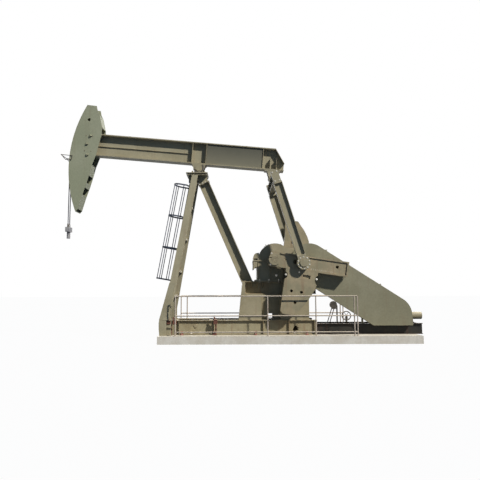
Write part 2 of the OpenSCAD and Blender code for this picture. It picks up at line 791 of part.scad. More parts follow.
// A point of the head given by its radius from the pivot and its angle above the beam axis.
function head_point(r, a) = [-r * cos(a), r * sin(a)];

head_back = [
  [-4430, 2225], [-4370, 2023], [-4268, 1849], [-4112, 1336], [-4099, 1032],
  [-4240, 150], [-4352, -255], [-4430, -717], [-4506, -1107], [-4619, -1569], [-4735, -2150]
];
head_steps = 24;
head_arc = [for (i = [0 : head_steps])
  head_point(face_r - face_thick - rest, -head_half_angle + i * 2 * head_half_angle / head_steps)];

module head_plates() {
  color(head_olive) on_beam() for (side = [-1, 1]) {
    y0 = side > 0 ? head_y - plate_thick : -head_y;
    difference() {
      side_plate(concat(head_arc, head_back), y0, y0 + plate_thick);
      bar_y(-4680, 1620, 62, y0 - 1, y0 + plate_thick + 1);
    }
  }
}

// A band of the head between two radii and two angles, across a width.
module head_band(r0, r1, a0, a1, y0, y1) {
  n = head_steps;
  pts = concat(
    [for (i = [0 : n]) head_point(r0, a0 + i * (a1 - a0) / n)],
    [for (i = [n : -1 : 0]) head_point(r1, a0 + i * (a1 - a0) / n)]);
  side_plate(pts, y0, y1);
}

module head_face() {
  color(head_olive) on_beam()
    head_band(face_r - face_thick, face_r, -head_half_angle, head_half_angle, -head_y, head_y);
}

// The plates that close the back of the head between its side plates; the rest stays open.
head_panels = [
  [[-4270, 1845], [-4116, 1340]], [[-4356, -262], [-4434, -712]],
  [[-4494, -1020], [-4540, -1230]], [[-4611, -1520], [-4735, -2130]]
];

module head_frame() {
  inner = head_y - plate_thick - rest;
  color(head_olive) on_beam() {
    for (p = [[[-4850, 2050], [-4440, 2000]], [[-5080, 1450], [-4240, 1480]], [[-5270, -380], [-4420, -500]],
      [[-5180, -1000], [-4540, -1080]], [[-5020, -1650], [-4670, -1720]]]) {
      a = p[0];
      b = p[1];
      side_plate([a, b, b + [0, 14], a + [0, 14]], -inner, inner);
    }
    for (p = head_panels) side_plate([p[0], p[1], p[1] - [12, 0], p[0] - [12, 0]], -inner, inner);
    block([-5260, -inner, beam_low - 20], [-4260, inner, beam_low - rest]);
    block([-5160, -inner, beam_high + rest], [-4130, inner, beam_high + 20]);
    block([beam_front - 20, -inner, beam_low - 10], [beam_front - rest, inner, beam_high + 10]);
    side_plate([[-4800, beam_low - 15], [-4600, beam_low - 15], [-4540, -300], [-4640, -300]], -90, 90);
  }
}

hoop_y = head_y + 16 + rest;
hoop_path = [[-5173, 7553], [-5629, 7600], [-5443, 7390], [-5213, 7390]];

module rope_hoop() {
  color(dark_steel) {
    for (side = [-1, 1]) {
      for (i = [0 : 3]) let (a = hoop_path[i], b = hoop_path[(i + 1) % 4])
        rod([a[0], side * hoop_y, a[1]], [b[0], side * hoop_y, b[1]], 13);
      for (p = hoop_path) translate([p[0], side * hoop_y, p[1]]) sphere(r = 16, $fn = 24);
    }
    bar_y(hoop_path[1][0], hoop_path[1][1], 13, -hoop_y, hoop_y);
  }
}

module wrapped_ropes() {
  color(rope_steel) for (side = [-1, 1]) translate([0, side * rope_gap / 2, pivot_z])
    rotate([90, 0, 0]) rotate([0, 0, 180 - beam_tilt - head_half_angle])
      rotate_extrude(angle = beam_tilt + head_half_angle - 0.01) translate([rope_r, 0]) circle(d = rope_d, $fn = 24);
}

tail_r = 210;

module tail_bearing() {
  color(olive) on_beam() {
    block([tail_reach - 330, -205, beam_low - 40], [tail_reach + 330, 205, beam_low - rest]);
    for (side = [-1, 1]) {
      y0 = side > 0 ? 150 : -200;
      difference() {
        union() {
          side_plate([[tail_reach - 230, beam_low - 20], [tail_reach - 120, -tail_drop],
            [tail_reach + 120, -tail_drop], [tail_reach + 230, beam_low - 20]], y0, y0 + 50);
          bar_y(tail_reach, -tail_drop, 130, y0, y0 + 50);
        }
        bar_y(tail_reach, -tail_drop, 72, y0 - 1, y0 + 51);
      }
    }
    bar_y(tail_reach, -tail_drop, 71.7, -225, 225);
  }
}

equalizer_top = -136;
equalizer_low = -400;
equalizer_half = 160;

module equalizer() {
  end = pitman_y - 114 - rest;
  color(olive) on_pitman() {
    difference() {
      bar_y(0, 0, 150, -140, 140);
      bar_y(0, 0, 72, -141, 141);
    }
    difference() {
      block([-equalizer_half, -end, equalizer_low], [equalizer_half, end, equalizer_top]);
      for (side = [-1, 1]) block([min(side * 12, side * (equalizer_half + 1)), -end - 1, equalizer_low + 24],
        [max(side * 12, side * (equalizer_half + 1)), end + 1, equalizer_top - 24]);
    }
    for (y = [-end, -500, 480, end - 20])
      block([-equalizer_half, y, equalizer_low], [equalizer_half, y + 20, equalizer_top]);
  }
}

pitman_depth = 340;

// One pitman: an I-section arm with an end block at the top and a fork plate for the wrist pin.
module pitman(side) {
  y = side * pitman_y;
  color(olive) on_pitman() translate([0, y, 0]) {
    translate([0, 0, -pitman_length + 265]) rotate([0, 0, 90])
      i_beam_z(pitman_length - 265 - 460, pitman_depth, 190, 22, 16);
    block([-145, -114, -520], [145, 114, 10]);
    block([-170, -95, -pitman_length + 265], [170, 95, -pitman_length + 320]);
  }
}

module pitman_near() { pitman(-1); }

module pitman_far() { pitman(1); }

wrist_r = 262;

module wrist(side) {
  y = side * pitman_y;
  pin_in = crank_outer + 5;
  color(olive) on_pitman() translate([0, 0, -pitman_length]) {
    bar_y(0, 0, wrist_r, y - 95, y + 95);
    bar_y(0, 0, 150, side > 0 ? y + 90 : y - 130, side > 0 ? y + 130 : y - 90);
    bar_y(0, 0, pin_r, side > 0 ? pin_in : y, side > 0 ? y : -pin_in);
    block([-170, y - 90, 180], [170, y + 90, 264.7]);
  }
}

module wrist_near() { wrist(-1); }

module wrist_far() { wrist(1); }

carrier_z = 4560;

module hanging_ropes() {
  color(rope_steel) for (side = [-1, 1])
    bar_z(-rod_reach, side * rope_gap / 2, rope_d / 2, carrier_z + 60 + rest, pivot_z);
}

module carrier_bar() {
  color(rope_steel) {
    difference() {
      union() {
        block([-rod_reach - 85, -190, carrier_z - 130], [-rod_reach + 85, 190, carrier_z + 60]);
        bar_z(-rod_reach, 0, 70, carrier_z - 400, carrier_z - 120);
        bar_z(-rod_reach, 0, 60, carrier_z + 50, carrier_z + 160);
      }
      bar_z(-rod_reach, 0, 20.5, carrier_z - 401, carrier_z + 161);
    }
  }
}

plinth();
base_rails();
base_crosses();
motor_skid();
hold_downs();
post_leg_near();
post_leg_far();
post_leg_rear();
post_braces();
post_cap();
centre_bearing();
ladder();
cage_hoops();
cage_bars();
pedestal();
sub_base();
gear_case();
bearing_caps();
belt_guard();
drive_sheave();
motor_sheave();
vee_belts();
motor();
motor_rails();
brake();
brake_stand();
railing_near();
railing_far();
crank_shaft();
crank_near();
crank_far();
weight_near_low();
weight_far_low();
weight_far_high();
walking_beam();
beam_boxes();
saddle();
head_plates();
head_face();
head_frame();
rope_hoop();
wrapped_ropes();
tail_bearing();
equalizer();
pitman_near();
pitman_far();
wrist_near();
wrist_far();
hanging_ropes();
carrier_bar();
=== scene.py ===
import math

import bpy
import bmesh
from mathutils import Matrix, Vector


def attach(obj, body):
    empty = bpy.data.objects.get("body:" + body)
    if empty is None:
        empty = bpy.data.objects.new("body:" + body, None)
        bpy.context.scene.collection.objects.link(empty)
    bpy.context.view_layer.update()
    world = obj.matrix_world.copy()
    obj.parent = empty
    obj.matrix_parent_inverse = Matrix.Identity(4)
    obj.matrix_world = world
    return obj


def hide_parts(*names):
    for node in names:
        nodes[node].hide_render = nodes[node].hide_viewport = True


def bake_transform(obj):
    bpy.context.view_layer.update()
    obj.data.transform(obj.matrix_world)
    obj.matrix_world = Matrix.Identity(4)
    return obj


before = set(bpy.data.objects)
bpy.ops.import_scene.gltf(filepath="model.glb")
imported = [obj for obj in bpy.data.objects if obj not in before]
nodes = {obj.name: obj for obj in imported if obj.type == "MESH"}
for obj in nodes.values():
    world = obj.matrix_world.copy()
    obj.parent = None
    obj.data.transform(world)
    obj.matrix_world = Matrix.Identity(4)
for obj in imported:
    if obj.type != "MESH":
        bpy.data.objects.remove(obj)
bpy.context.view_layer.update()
bpy.ops.object.select_all(action="DESELECT")
bpy.context.scene.view_settings.view_transform = "Standard"

# The camera stands on the near side, two metres above the ground, and looks slightly up at the
# unit, as the photograph was taken. It has no shift and no depth of field.
eye = Vector((1.609, -20.960, 1.968))
look_up, look_right, roll = 0.1006, -0.0046, -0.0029
cam_data = bpy.data.cameras.new("camera")
focal_pixels, frame_pixels, sensor = 512.93, 480, 36.0
cam_data.sensor_width = sensor
cam_data.lens = focal_pixels / frame_pixels * sensor
cam_data.clip_end = 400.0
camera = bpy.data.objects.new("camera", cam_data)
bpy.context.scene.collection.objects.link(camera)
facing = Matrix.Rotation(look_right, 4, "Z") @ Matrix.Rotation(math.pi / 2 + look_up, 4, "X")
camera.matrix_world = Matrix.Translation(eye) @ facing @ Matrix.Rotation(roll, 4, "Z")
bpy.context.scene.camera = camera

# One sun from the right, the near side and above gives the slanting shadows of the stiffeners
# and cranks.
sun_data = bpy.data.lights.new("sun", "SUN")
sun_data.energy = 5.9
sun_data.angle = math.radians(2.5)
sun_data.color = (1.0, 0.985, 0.955)
sun = bpy.data.objects.new("sun", sun_data)
bpy.context.scene.collection.objects.link(sun)
sun.rotation_euler = Vector((1.15, -1.0, 1.3)).to_track_quat("Z", "Y").to_euler()

# A weak, very soft lamp from behind lights the far side, as a pale studio wall would.
back_data = bpy.data.lights.new("back_light", "SUN")
back_data.energy = 1.3
back_data.angle = math.radians(50)
back_light = bpy.data.objects.new("back_light", back_data)
bpy.context.scene.collection.objects.link(back_light)
back_light.rotation_euler = Vector((-0.1, 1.0, 0.4)).to_track_quat("Z", "Y").to_euler()

# The studio round the unit: white where it is seen, and a weak sky blue where it lights the
# shaded sides.
def seen(tree):
    """1 for what is seen, straight, in a reflection or through glass, and 0 for what gives light."""
    path = tree.nodes.new("ShaderNodeLightPath")
    value = path.outputs["Is Camera Ray"]
    for ray in ("Is Glossy Ray", "Is Transmission Ray"):
        either = tree.nodes.new("ShaderNodeMath")
        either.operation = "MAXIMUM"
        tree.links.new(value, either.inputs[0])
        tree.links.new(path.outputs[ray], either.inputs[1])
        value = either.outputs[0]
    return value


world = bpy.data.worlds.new("studio")
bpy.context.scene.world = world
world.use_nodes = True
wt = world.node_tree
wt.nodes.clear()
w_mix = wt.nodes.new("ShaderNodeMixShader")
for socket, colour, strength in ((1, (0.23, 0.53, 1.0, 1), 0.2), (2, (1, 1, 1, 1), 1.0)):
    back = wt.nodes.new("ShaderNodeBackground")
    back.inputs["Color"].default_value = colour
    back.inputs["Strength"].default_value = strength
    wt.links.new(back.outputs[0], w_mix.inputs[socket])
wt.links.new(seen(wt), w_mix.inputs["Fac"])
wt.links.new(w_mix.outputs[0], wt.nodes.new("ShaderNodeOutputWorld").inputs["Surface"])

# The studio floor: a plain plane under the plinth. It is white with a faint shadow where it is
# seen, and a dark ground to the light that it throws back.
bpy.ops.mesh.primitive_plane_add(size=400, location=(0, 0, -0.002))
floor = bpy.context.object
floor.name = "studio_floor"
floor_mat = bpy.data.materials.new("studio_floor")
floor_mat.use_nodes = True
ft = floor_mat.node_tree
ft.nodes.clear()
f_out = ft.nodes.new("ShaderNodeOutputMaterial")
f_mix = ft.nodes.new("ShaderNodeMixShader")
f_diff = ft.nodes.new("ShaderNodeBsdfDiffuse")
f_emit = ft.nodes.new("ShaderNodeEmission")
f_part = ft.nodes.new("ShaderNodeMath")
f_part.operation = "MULTIPLY"
f_part.inputs[1].default_value = 0.975
f_diff.inputs["Color"].default_value = (0.085, 0.115, 0.16, 1)
f_emit.inputs["Color"].default_value = (1, 1, 1, 1)
ft.links.new(seen(ft), f_part.inputs[0])
ft.links.new(f_part.outputs[0], f_mix.inputs["Fac"])
ft.links.new(f_diff.outputs[0], f_mix.inputs[1])
ft.links.new(f_emit.outputs[0], f_mix.inputs[2])
ft.links.new(f_mix.outputs[0], f_out.inputs["Surface"])
floor.data.materials.append(floor_mat)
bpy.ops.object.select_all(action="DESELECT")

# Weathered paint, used all over the unit: tone patches, fine mottling, run marks on upright
# faces, rust where the paint is worn and dust on what faces up. The wire ropes, the oiled steel
# and the concrete take it with values of their own.
def maths(tree, what, a, b, clamp=False):
    n = tree.nodes.new("ShaderNodeMath")
    n.operation = what
    n.use_clamp = clamp
    for i, v in enumerate((a, b)):
        if isinstance(v, (int, float)):
            n.inputs[i].default_value = v
        else:
            tree.links.new(v, n.inputs[i])
    return n.outputs[0]


def ramp(tree, value, low, high, to_low=0.0, to_high=1.0):
    n = tree.nodes.new("ShaderNodeMapRange")
    n.interpolation_type = "SMOOTHSTEP"
    n.inputs["From Min"].default_value = low
    n.inputs["From Max"].default_value = high
    n.inputs["To Min"].default_value = to_low
    n.inputs["To Max"].default_value = to_high
    tree.links.new(value, n.inputs["Value"])
    return n.outputs["Result"]


def colour_mix(tree, part, a, b, how="MIX"):
    n = tree.nodes.new("ShaderNodeMix")
    n.data_type = "RGBA"
    n.blend_type = how
    for name, v in (("Factor", part), ("A", a), ("B", b)):
        socket = [s for s in n.inputs if s.name == name and s.enabled][0]
        if isinstance(v, (int, float, tuple)):
            socket.default_value = v
        else:
            tree.links.new(v, socket)
    return [s for s in n.outputs if s.name == "Result" and s.enabled][0]


def noise(tree, where, scale, detail=4.0, rough=0.55, stretch=None):
    source = where
    if stretch:
        m = tree.nodes.new("ShaderNodeMapping")
        m.inputs["Scale"].default_value = stretch
        tree.links.new(where, m.inputs["Vector"])
        source = m.outputs["Vector"]
    n = tree.nodes.new("ShaderNodeTexNoise")
    n.inputs["Detail"].default_value = detail
    n.inputs["Roughness"].default_value = rough
    if isinstance(scale, (int, float)):
        n.inputs["Scale"].default_value = scale
    else:
        tree.links.new(scale, n.inputs["Scale"])
    tree.links.new(source, n.inputs["Vector"])
    return n.outputs["Fac"]


def new_group(name, ins, outs):
    g = bpy.data.node_groups.new(name, "ShaderNodeTree")
    for label, kind, value in ins:
        s = g.interface.new_socket(name=label, in_out="INPUT", socket_type=kind)
        s.default_value = value
    for label, kind in outs:
        g.interface.new_socket(name=label, in_out="OUTPUT", socket_type=kind)
    return g, g.nodes.new("NodeGroupInput"), g.nodes.new("NodeGroupOutput")


COLOUR, FLOAT = "NodeSocketColor", "NodeSocketFloat"
paint_group, gin, gout = new_group("weathered_paint", [
    ("Paint", COLOUR, (0.2, 0.2, 0.2, 1)), ("Faded", COLOUR, (0.25, 0.25, 0.22, 1)),
    ("Dust", COLOUR, (0.5, 0.45, 0.36, 1)), ("Rust", COLOUR, (0.09, 0.035, 0.018, 1)),
    ("Patch Scale", FLOAT, 0.9), ("Dust Amount", FLOAT, 0.6), ("Rust Amount", FLOAT, 0.3),
    ("Streak Amount", FLOAT, 0.4), ("Edge Wear", FLOAT, 0.5)],
    [("Color", COLOUR), ("Roughness", FLOAT), ("Height", FLOAT)])
t = paint_group
place = t.nodes.new("ShaderNodeTexCoord")
spot = place.outputs["Object"]
patch = ramp(t, noise(t, spot, gin.outputs["Patch Scale"], 5, 0.62), 0.38, 0.62)
mottle = noise(t, spot, 17.0, 6, 0.62)
fine = noise(t, spot, 85.0, 3, 0.5)
tone = colour_mix(t, patch, gin.outputs["Paint"], gin.outputs["Faded"])
shade = colour_mix(t, mottle, (0.80, 0.80, 0.80, 1), (1.20, 1.20, 1.18, 1))
tone = colour_mix(t, 1.0, tone, shade, "MULTIPLY")
axes = t.nodes.new("ShaderNodeSeparateXYZ")
t.links.new(place.outputs["Normal"], axes.inputs[0])
upright = ramp(t, maths(t, "ABSOLUTE", axes.outputs["Z"], 0.0), 0.55, 0.2)
runs = ramp(t, noise(t, spot, 1.0, 4, 0.6, (7.0, 7.0, 0.55)), 0.52, 0.72)
runs = maths(t, "MULTIPLY", maths(t, "MULTIPLY", runs, upright), gin.outputs["Streak Amount"])
tone = colour_mix(t, runs, tone, colour_mix(t, 0.5, gin.outputs["Rust"], gin.outputs["Paint"]))
bevel = t.nodes.new("ShaderNodeBevel")
bevel.samples = 3
bevel.inputs["Radius"].default_value = 0.016
geo = t.nodes.new("ShaderNodeNewGeometry")
dot = t.nodes.new("ShaderNodeVectorMath")
dot.operation = "DOT_PRODUCT"
t.links.new(bevel.outputs["Normal"], dot.inputs[0])
t.links.new(geo.outputs["Normal"], dot.inputs[1])
edge = ramp(t, dot.outputs["Value"], 0.995, 0.86)
edge = maths(t, "MULTIPLY", edge, ramp(t, noise(t, spot, 9.0, 5, 0.7), 0.38, 0.62))
edge = maths(t, "MULTIPLY", edge, gin.outputs["Edge Wear"])
blisters = noise(t, spot, 4.2, 9, 0.72)
bite = maths(t, "SUBTRACT", 0.80, maths(t, "MULTIPLY", gin.outputs["Rust Amount"], 0.26))
rusty = maths(t, "MULTIPLY", maths(t, "SUBTRACT", blisters, bite), 14.0, True)
rusty = maths(t, "MAXIMUM", rusty, edge)
rust_tone = colour_mix(t, mottle, gin.outputs["Rust"], (0.20, 0.085, 0.04, 1))
tone = colour_mix(t, rusty, tone, rust_tone)
flat_up = ramp(t, axes.outputs["Z"], 0.35, 0.92)
dusty = maths(t, "MULTIPLY", flat_up, ramp(t, noise(t, spot, 2.3, 6, 0.65), 0.25, 0.62, 0.35, 1.0))
dusty = maths(t, "MULTIPLY", dusty, gin.outputs["Dust Amount"])
tone = colour_mix(t, dusty, tone, gin.outputs["Dust"])
t.links.new(tone, gout.inputs["Color"])
rough = maths(t, "ADD", maths(t, "MULTIPLY", mottle, 0.22), 0.42)
rough = maths(t, "MAXIMUM", rough, maths(t, "MULTIPLY", maths(t, "MAXIMUM", rusty, dusty), 0.9))
t.links.new(rough, gout.inputs["Roughness"])
high = maths(t, "ADD", maths(t, "MULTIPLY", mottle, 0.35), maths(t, "MULTIPLY", fine, 0.12))
high = maths(t, "SUBTRACT", high, maths(t, "MULTIPLY", rusty, 0.3))
t.links.new(high, gout.inputs["Height"])


def srgb(r, g, b):
    """A colour written as 0 to 255 on screen, made linear."""
    return tuple(c / 255 / 12.92 if c / 255 < 0.04045 else ((c / 255 + 0.055) / 1.055) ** 2.4
                 for c in (r, g, b)) + (1.0,)


def from_group(name, group, relief, metal=0.0, **values):
    """A material whose colour, roughness and bump come from a shared group."""
    m = bpy.data.materials.new(name)
    m.use_nodes = True
    shader = m.node_tree.nodes["Principled BSDF"]
    shader.inputs["Metallic"].default_value = metal
    shader.inputs["Specular IOR Level"].default_value = 0.22
    g = m.node_tree.nodes.new("ShaderNodeGroup")
    g.node_tree = group
    for label, value in values.items():
        g.inputs[label.replace("_", " ")].default_value = value
    bump = m.node_tree.nodes.new("ShaderNodeBump")
    bump.inputs["Strength"].default_value = 0.6
    bump.inputs["Distance"].default_value = relief
    m.node_tree.links.new(g.outputs["Color"], shader.inputs["Base Color"])
    m.node_tree.links.new(g.outputs["Roughness"], shader.inputs["Roughness"])
    m.node_tree.links.new(g.outputs["Height"], bump.inputs["Height"])
    m.node_tree.links.new(bump.outputs["Normal"], shader.inputs["Normal"])
    return m


def painted(name, relief, paint, faded, rust, dust=(205, 192, 164), metal=0.0, **values):
    """A material of weathered paint. Its colours are 0 to 255 as on screen."""
    return from_group(name, paint_group, relief, metal, Paint=srgb(*paint), Faded=srgb(*faded),
                      Rust=srgb(*rust), Dust=srgb(*dust), **values)


def dress(material, *names):
    """Gives CAD nodes their material."""
    for n in names:
        nodes[n].data.materials.clear()
        nodes[n].data.materials.append(material)


# The post, the saddle, the bearings and the pitmans with their equalizer: rolled and welded
# steel in faded olive paint, dusty on top, with a few rust blisters and runs.
olive_paint = painted("olive_paint", 0.002, (129, 122, 99), (138, 131, 108), (98, 62, 42),
                      Patch_Scale=0.9, Dust_Amount=0.75, Rust_Amount=0.25, Streak_Amount=0.35, Edge_Wear=0.45)
dress(olive_paint, "post_leg_near", "post_leg_far", "post_braces", "centre_bearing", "saddle",
      "tail_bearing", "equalizer", "pitman_near", "pitman_far", "wrist_near", "wrist_far")

# The horse head: a rolled face plate between two flame-cut side plates, closed at the back by
# plates that are welded in. Its olive is a little greener.
head_paint = painted("head_paint", 0.002, (124, 126, 104), (131, 132, 111), (98, 66, 46),
                     Patch_Scale=0.5, Dust_Amount=0.6, Rust_Amount=0.15, Streak_Amount=0.25, Edge_Wear=0.4)
dress(head_paint, "head_plates", "head_face", "head_frame")

# The cranks and their counterweights: heavy castings in the same olive, more worn and with rust
# tints.
crank_paint = painted("crank_paint", 0.003, (122, 115, 92), (138, 126, 101), (112, 66, 42),
                      Patch_Scale=1.3, Dust_Amount=0.7, Rust_Amount=0.55, Streak_Amount=0.5, Edge_Wear=0.6)
dress(crank_paint, "crank_near", "crank_far", "weight_near_low", "weight_far_low", "weight_far_high")

# The gear reducer on its welded pedestal, and the motor on its rails: cast housings in the
# same paint, a little browner.
gear_paint = painted("gear_paint", 0.0025, (126, 117, 92), (139, 130, 106), (98, 62, 42),
                     Patch_Scale=0.8, Dust_Amount=0.8, Rust_Amount=0.3, Streak_Amount=0.4, Edge_Wear=0.45)
dress(gear_paint, "pedestal", "gear_case", "bearing_caps", "motor", "motor_rails")

# The belt guard: rolled sheet steel in the same paint, a little greyer and almost free of
# rust.
guard_paint = painted("guard_paint", 0.002, (113, 109, 88), (124, 120, 99), (98, 62, 42),
                      Patch_Scale=0.7, Dust_Amount=0.7, Rust_Amount=0.15, Streak_Amount=0.3, Edge_Wear=0.4)
dress(guard_paint, "belt_guard")

# The base rails, the cross members between them and the frame under the reducer: rolled
# sections, splashed and browner near the ground.
base_paint = painted("base_paint", 0.003, (122, 111, 86), (137, 129, 104), (104, 60, 38),
                     Patch_Scale=1.1, Dust_Amount=0.85, Rust_Amount=0.5, Streak_Amount=0.5, Edge_Wear=0.7)
dress(base_paint, "base_rails", "base_crosses", "sub_base")

# The motor skid: a low frame of the same steel, coloured nearly black, with splashes.
skid_paint = painted("skid_paint", 0.003, (27, 26, 22), (37, 36, 30), (84, 50, 34), dust=(104, 96, 78),
                     Patch_Scale=1.6, Dust_Amount=0.6, Rust_Amount=0.45, Streak_Amount=0.4, Edge_Wear=0.6)
dress(skid_paint, "motor_skid")

# The hold-downs that clamp the base rails to the plinth: small castings in red-brown primer,
# chipped and rusty.
clamp_paint = painted("clamp_paint", 0.004, (118, 62, 48), (150, 92, 78), (84, 42, 28),
                      Patch_Scale=6.0, Dust_Amount=0.4, Rust_Amount=0.8, Streak_Amount=0.5, Edge_Wear=0.8)
dress(clamp_paint, "hold_downs")

# The guard railings along the plinth: welded pipe in a thin, chalky grey-brown paint with some
# rust.
rail_paint = painted("rail_paint", 0.001, (150, 138, 124), (166, 154, 140), (112, 70, 52),
                     Patch_Scale=2.5, Dust_Amount=0.5, Rust_Amount=0.35, Streak_Amount=0.3, Edge_Wear=0.2)
dress(rail_paint, "railing_near", "railing_far")

# The sheaves and their belts, the brake, the crank shaft and the hoop of the ropes: cast iron,
# steel and rubber without paint, dark with oil and dust.
dark_steel = painted("dark_steel", 0.002, (62, 60, 56), (80, 76, 68), (84, 50, 34), dust=(150, 138, 116),
                     Patch_Scale=3.0, Dust_Amount=0.5, Rust_Amount=0.5, Streak_Amount=0.3, Edge_Wear=0.5)
dress(dark_steel, "drive_sheave", "motor_sheave", "vee_belts", "brake", "brake_stand", "crank_shaft",
      "rope_hoop")

# The carrier bar that hangs across the two ropes: forged steel, its paint worn down to bright
# metal.
carrier_steel = painted("carrier_steel", 0.002, (112, 112, 116), (140, 138, 136), (98, 66, 46), metal=0.3,
                        Patch_Scale=6.0, Dust_Amount=0.4, Rust_Amount=0.5, Streak_Amount=0.3, Edge_Wear=0.6)
dress(carrier_steel, "carrier_bar")

# The plinth: one long block of cast concrete, pale and dusty, on which the whole unit is
# clamped down.
concrete = painted("concrete", 0.004, (190, 184, 172), (178, 170, 156), (120, 108, 92), dust=(205, 196, 178),
                   Patch_Scale=1.5, Dust_Amount=0.8, Rust_Amount=0.2, Streak_Amount=0.3, Edge_Wear=0.3)
dress(concrete, "plinth")

# The hexagon nut on its washer, with the end of its stud: galvanised steel, used all over the
# unit. It is modelled once at one metre across corners and copied in its real sizes.
def only(obj):
    """Selects one object and nothing else."""
    bpy.ops.object.select_all(action="DESELECT")
    obj.select_set(True)
    bpy.context.view_layer.objects.active = obj


def edit(obj):
    """Opens one object in edit mode, nothing else selected."""
    only(obj)
    bpy.ops.object.mode_set(mode="EDIT")


def pick(test):
    """Selects the faces of the mesh being edited whose middle and normal pass a test."""
    bpy.ops.mesh.select_mode(type="FACE")
    bpy.ops.mesh.select_all(action="DESELECT")
    mesh = bpy.context.object.data
    for f in bmesh.from_edit_mesh(mesh).faces:
        if test(f.calc_center_median(), f.normal):
            f.select_set(True)
    bmesh.update_edit_mesh(mesh)


def every():
    """Selects the whole mesh being edited."""
    bpy.ops.mesh.select_all(action="SELECT")


def outward():
    """Selects the whole mesh being edited and turns its faces outward."""
    every()
    bpy.ops.mesh.normals_make_consistent(inside=False)


def leave():
    """Leaves edit mode, where it is on."""
    if bpy.context.mode == "EDIT_MESH":
        bpy.ops.object.mode_set(mode="OBJECT")


def break_edges(offset, segments=1):
    """Bevels the selected edges."""
    bpy.ops.mesh.bevel(offset=offset, segments=segments, affect="EDGES")


def pull(x=0.0, y=0.0, z=0.0):
    """Extrudes what is selected that far."""
    bpy.ops.mesh.extrude_region_move(TRANSFORM_OT_translate={"value": (x, y, z)})


def settle(obj, name, body, material, at=None, angle=32):
    """Ends a piece: its place put into its mesh, shading, its name, finish and body."""
    leave()
    if at is not None:
        obj.matrix_world = at
    only(obj)
    bpy.ops.object.transform_apply(location=True, rotation=True, scale=True)
    bpy.ops.object.shade_smooth_by_angle(angle=math.radians(angle))
    obj.name = name
    obj.data.name = name
    obj.data.materials.clear()
    obj.data.materials.append(material)
    if body:
        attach(obj, body)
    bpy.ops.object.select_all(action="DESELECT")
    return obj


def move(obj, at):
    """Puts a shape in its place for good and opens it again, to be cut there."""
    leave()
    obj.matrix_world = at
    bpy.ops.object.transform_apply(location=True, rotation=True, scale=True)
    edit(obj)


def template(obj):
    """Takes a finished shape out of the scene, to be copied."""
    leave()
    for c in list(obj.users_collection):
        c.objects.unlink(obj)
    return obj


def copies(shape, places, name, body, material):
    """Copies a finished shape to each place, a matrix, and joins the copies into one piece."""
    made = []
    for place in places:
        one = bpy.data.objects.new(name, shape.data.copy())
        bpy.context.scene.collection.objects.link(one)
        one.matrix_world = place
        made.append(one)
    bpy.ops.object.select_all(action="DESELECT")
    for one in made:
        one.select_set(True)
    bpy.context.view_layer.objects.active = made[0]
    if len(made) > 1:
        bpy.ops.object.join()
    return settle(made[0], name, body, material)


def facing_at(point, way, size=1.0, turn=0.0):
    """The place of a copy whose own Z looks along a direction."""
    to = Vector(way).normalized().to_track_quat("Z", "Y").to_matrix().to_4x4()
    return Matrix.Translation(Vector(point)) @ to @ Matrix.Rotation(turn, 4, "Z") @ Matrix.Scale(size, 4)


bpy.ops.mesh.primitive_cylinder_add(vertices=6, radius=0.5, depth=0.42, location=(0, 0, 0.33))
bolt_shape = bpy.context.object
edit(bolt_shape)
pick(lambda c, n: n.z > 0.9)
break_edges(0.07)
pick(lambda c, n: n.z > 0.9 and c.z > 0.5)
bpy.ops.mesh.inset(thickness=0.14)
pull(z=0.17)
bpy.ops.transform.resize(value=(0.86, 0.86, 1))
bpy.ops.mesh.primitive_cylinder_add(vertices=12, radius=0.66, depth=0.12, location=(0, 0, 0.06))
template(bolt_shape)

steel_group, gin, gout = new_group("bright_steel", [
    ("Steel", COLOUR, (0.4, 0.4, 0.4, 1)), ("Dull", COLOUR, (0.3, 0.3, 0.28, 1)),
    ("Rust", COLOUR, (0.1, 0.045, 0.025, 1)), ("Rust Amount", FLOAT, 0.3), ("Grain", FLOAT, 40.0)],
    [("Color", COLOUR), ("Roughness", FLOAT), ("Height", FLOAT)])
t = steel_group
spot = t.nodes.new("ShaderNodeTexCoord").outputs["Object"]
clouds = ramp(t, noise(t, spot, 3.1, 5, 0.6), 0.36, 0.64)
grit = noise(t, spot, gin.outputs["Grain"], 5, 0.6)
tone = colour_mix(t, clouds, gin.outputs["Steel"], gin.outputs["Dull"])
bite = maths(t, "SUBTRACT", 0.78, maths(t, "MULTIPLY", gin.outputs["Rust Amount"], 0.3))
rusty = maths(t, "MULTIPLY", maths(t, "SUBTRACT", noise(t, spot, 11.0, 8, 0.7), bite), 9.0, True)
tone = colour_mix(t, rusty, tone, gin.outputs["Rust"])
t.links.new(tone, gout.inputs["Color"])
t.links.new(maths(t, "ADD", maths(t, "MULTIPLY", grit, 0.3), maths(t, "MULTIPLY", rusty, 0.4)),
            gout.inputs["Roughness"])
t.links.new(maths(t, "SUBTRACT", grit, rusty), gout.inputs["Height"])
bolt_steel = from_group("bolt_steel", steel_group, 0.001, 0.35, Steel=srgb(216, 212, 202),
                        Dull=srgb(186, 180, 168), Rust=srgb(110, 70, 48), Rust_Amount=0.25)
worn_bolt = from_group("worn_bolt", steel_group, 0.001, 0.1, Steel=srgb(128, 121, 100),
                       Dull=srgb(104, 94, 76), Rust=srgb(84, 52, 38), Rust_Amount=0.5)


def bolts(name, body, places, size=0.05, material=worn_bolt):
    """A set of nuts: each place is (point, outward direction), the size is across corners."""
    return copies(bolt_shape, [facing_at(p, w, size, 0.35 * i) for i, (p, w) in enumerate(places)],
                  name, body, material)


# Nuts of the wrist bearings: a ring of ten bright ones round each bearing cap, on the face that
# looks away from the crank.
LEAN = math.radians(17.27310823)
tail_x, tail_z, pitman_long = 3.0218, 6.6483, 3.7532  # the tail bearing, and from it to the wrist pins


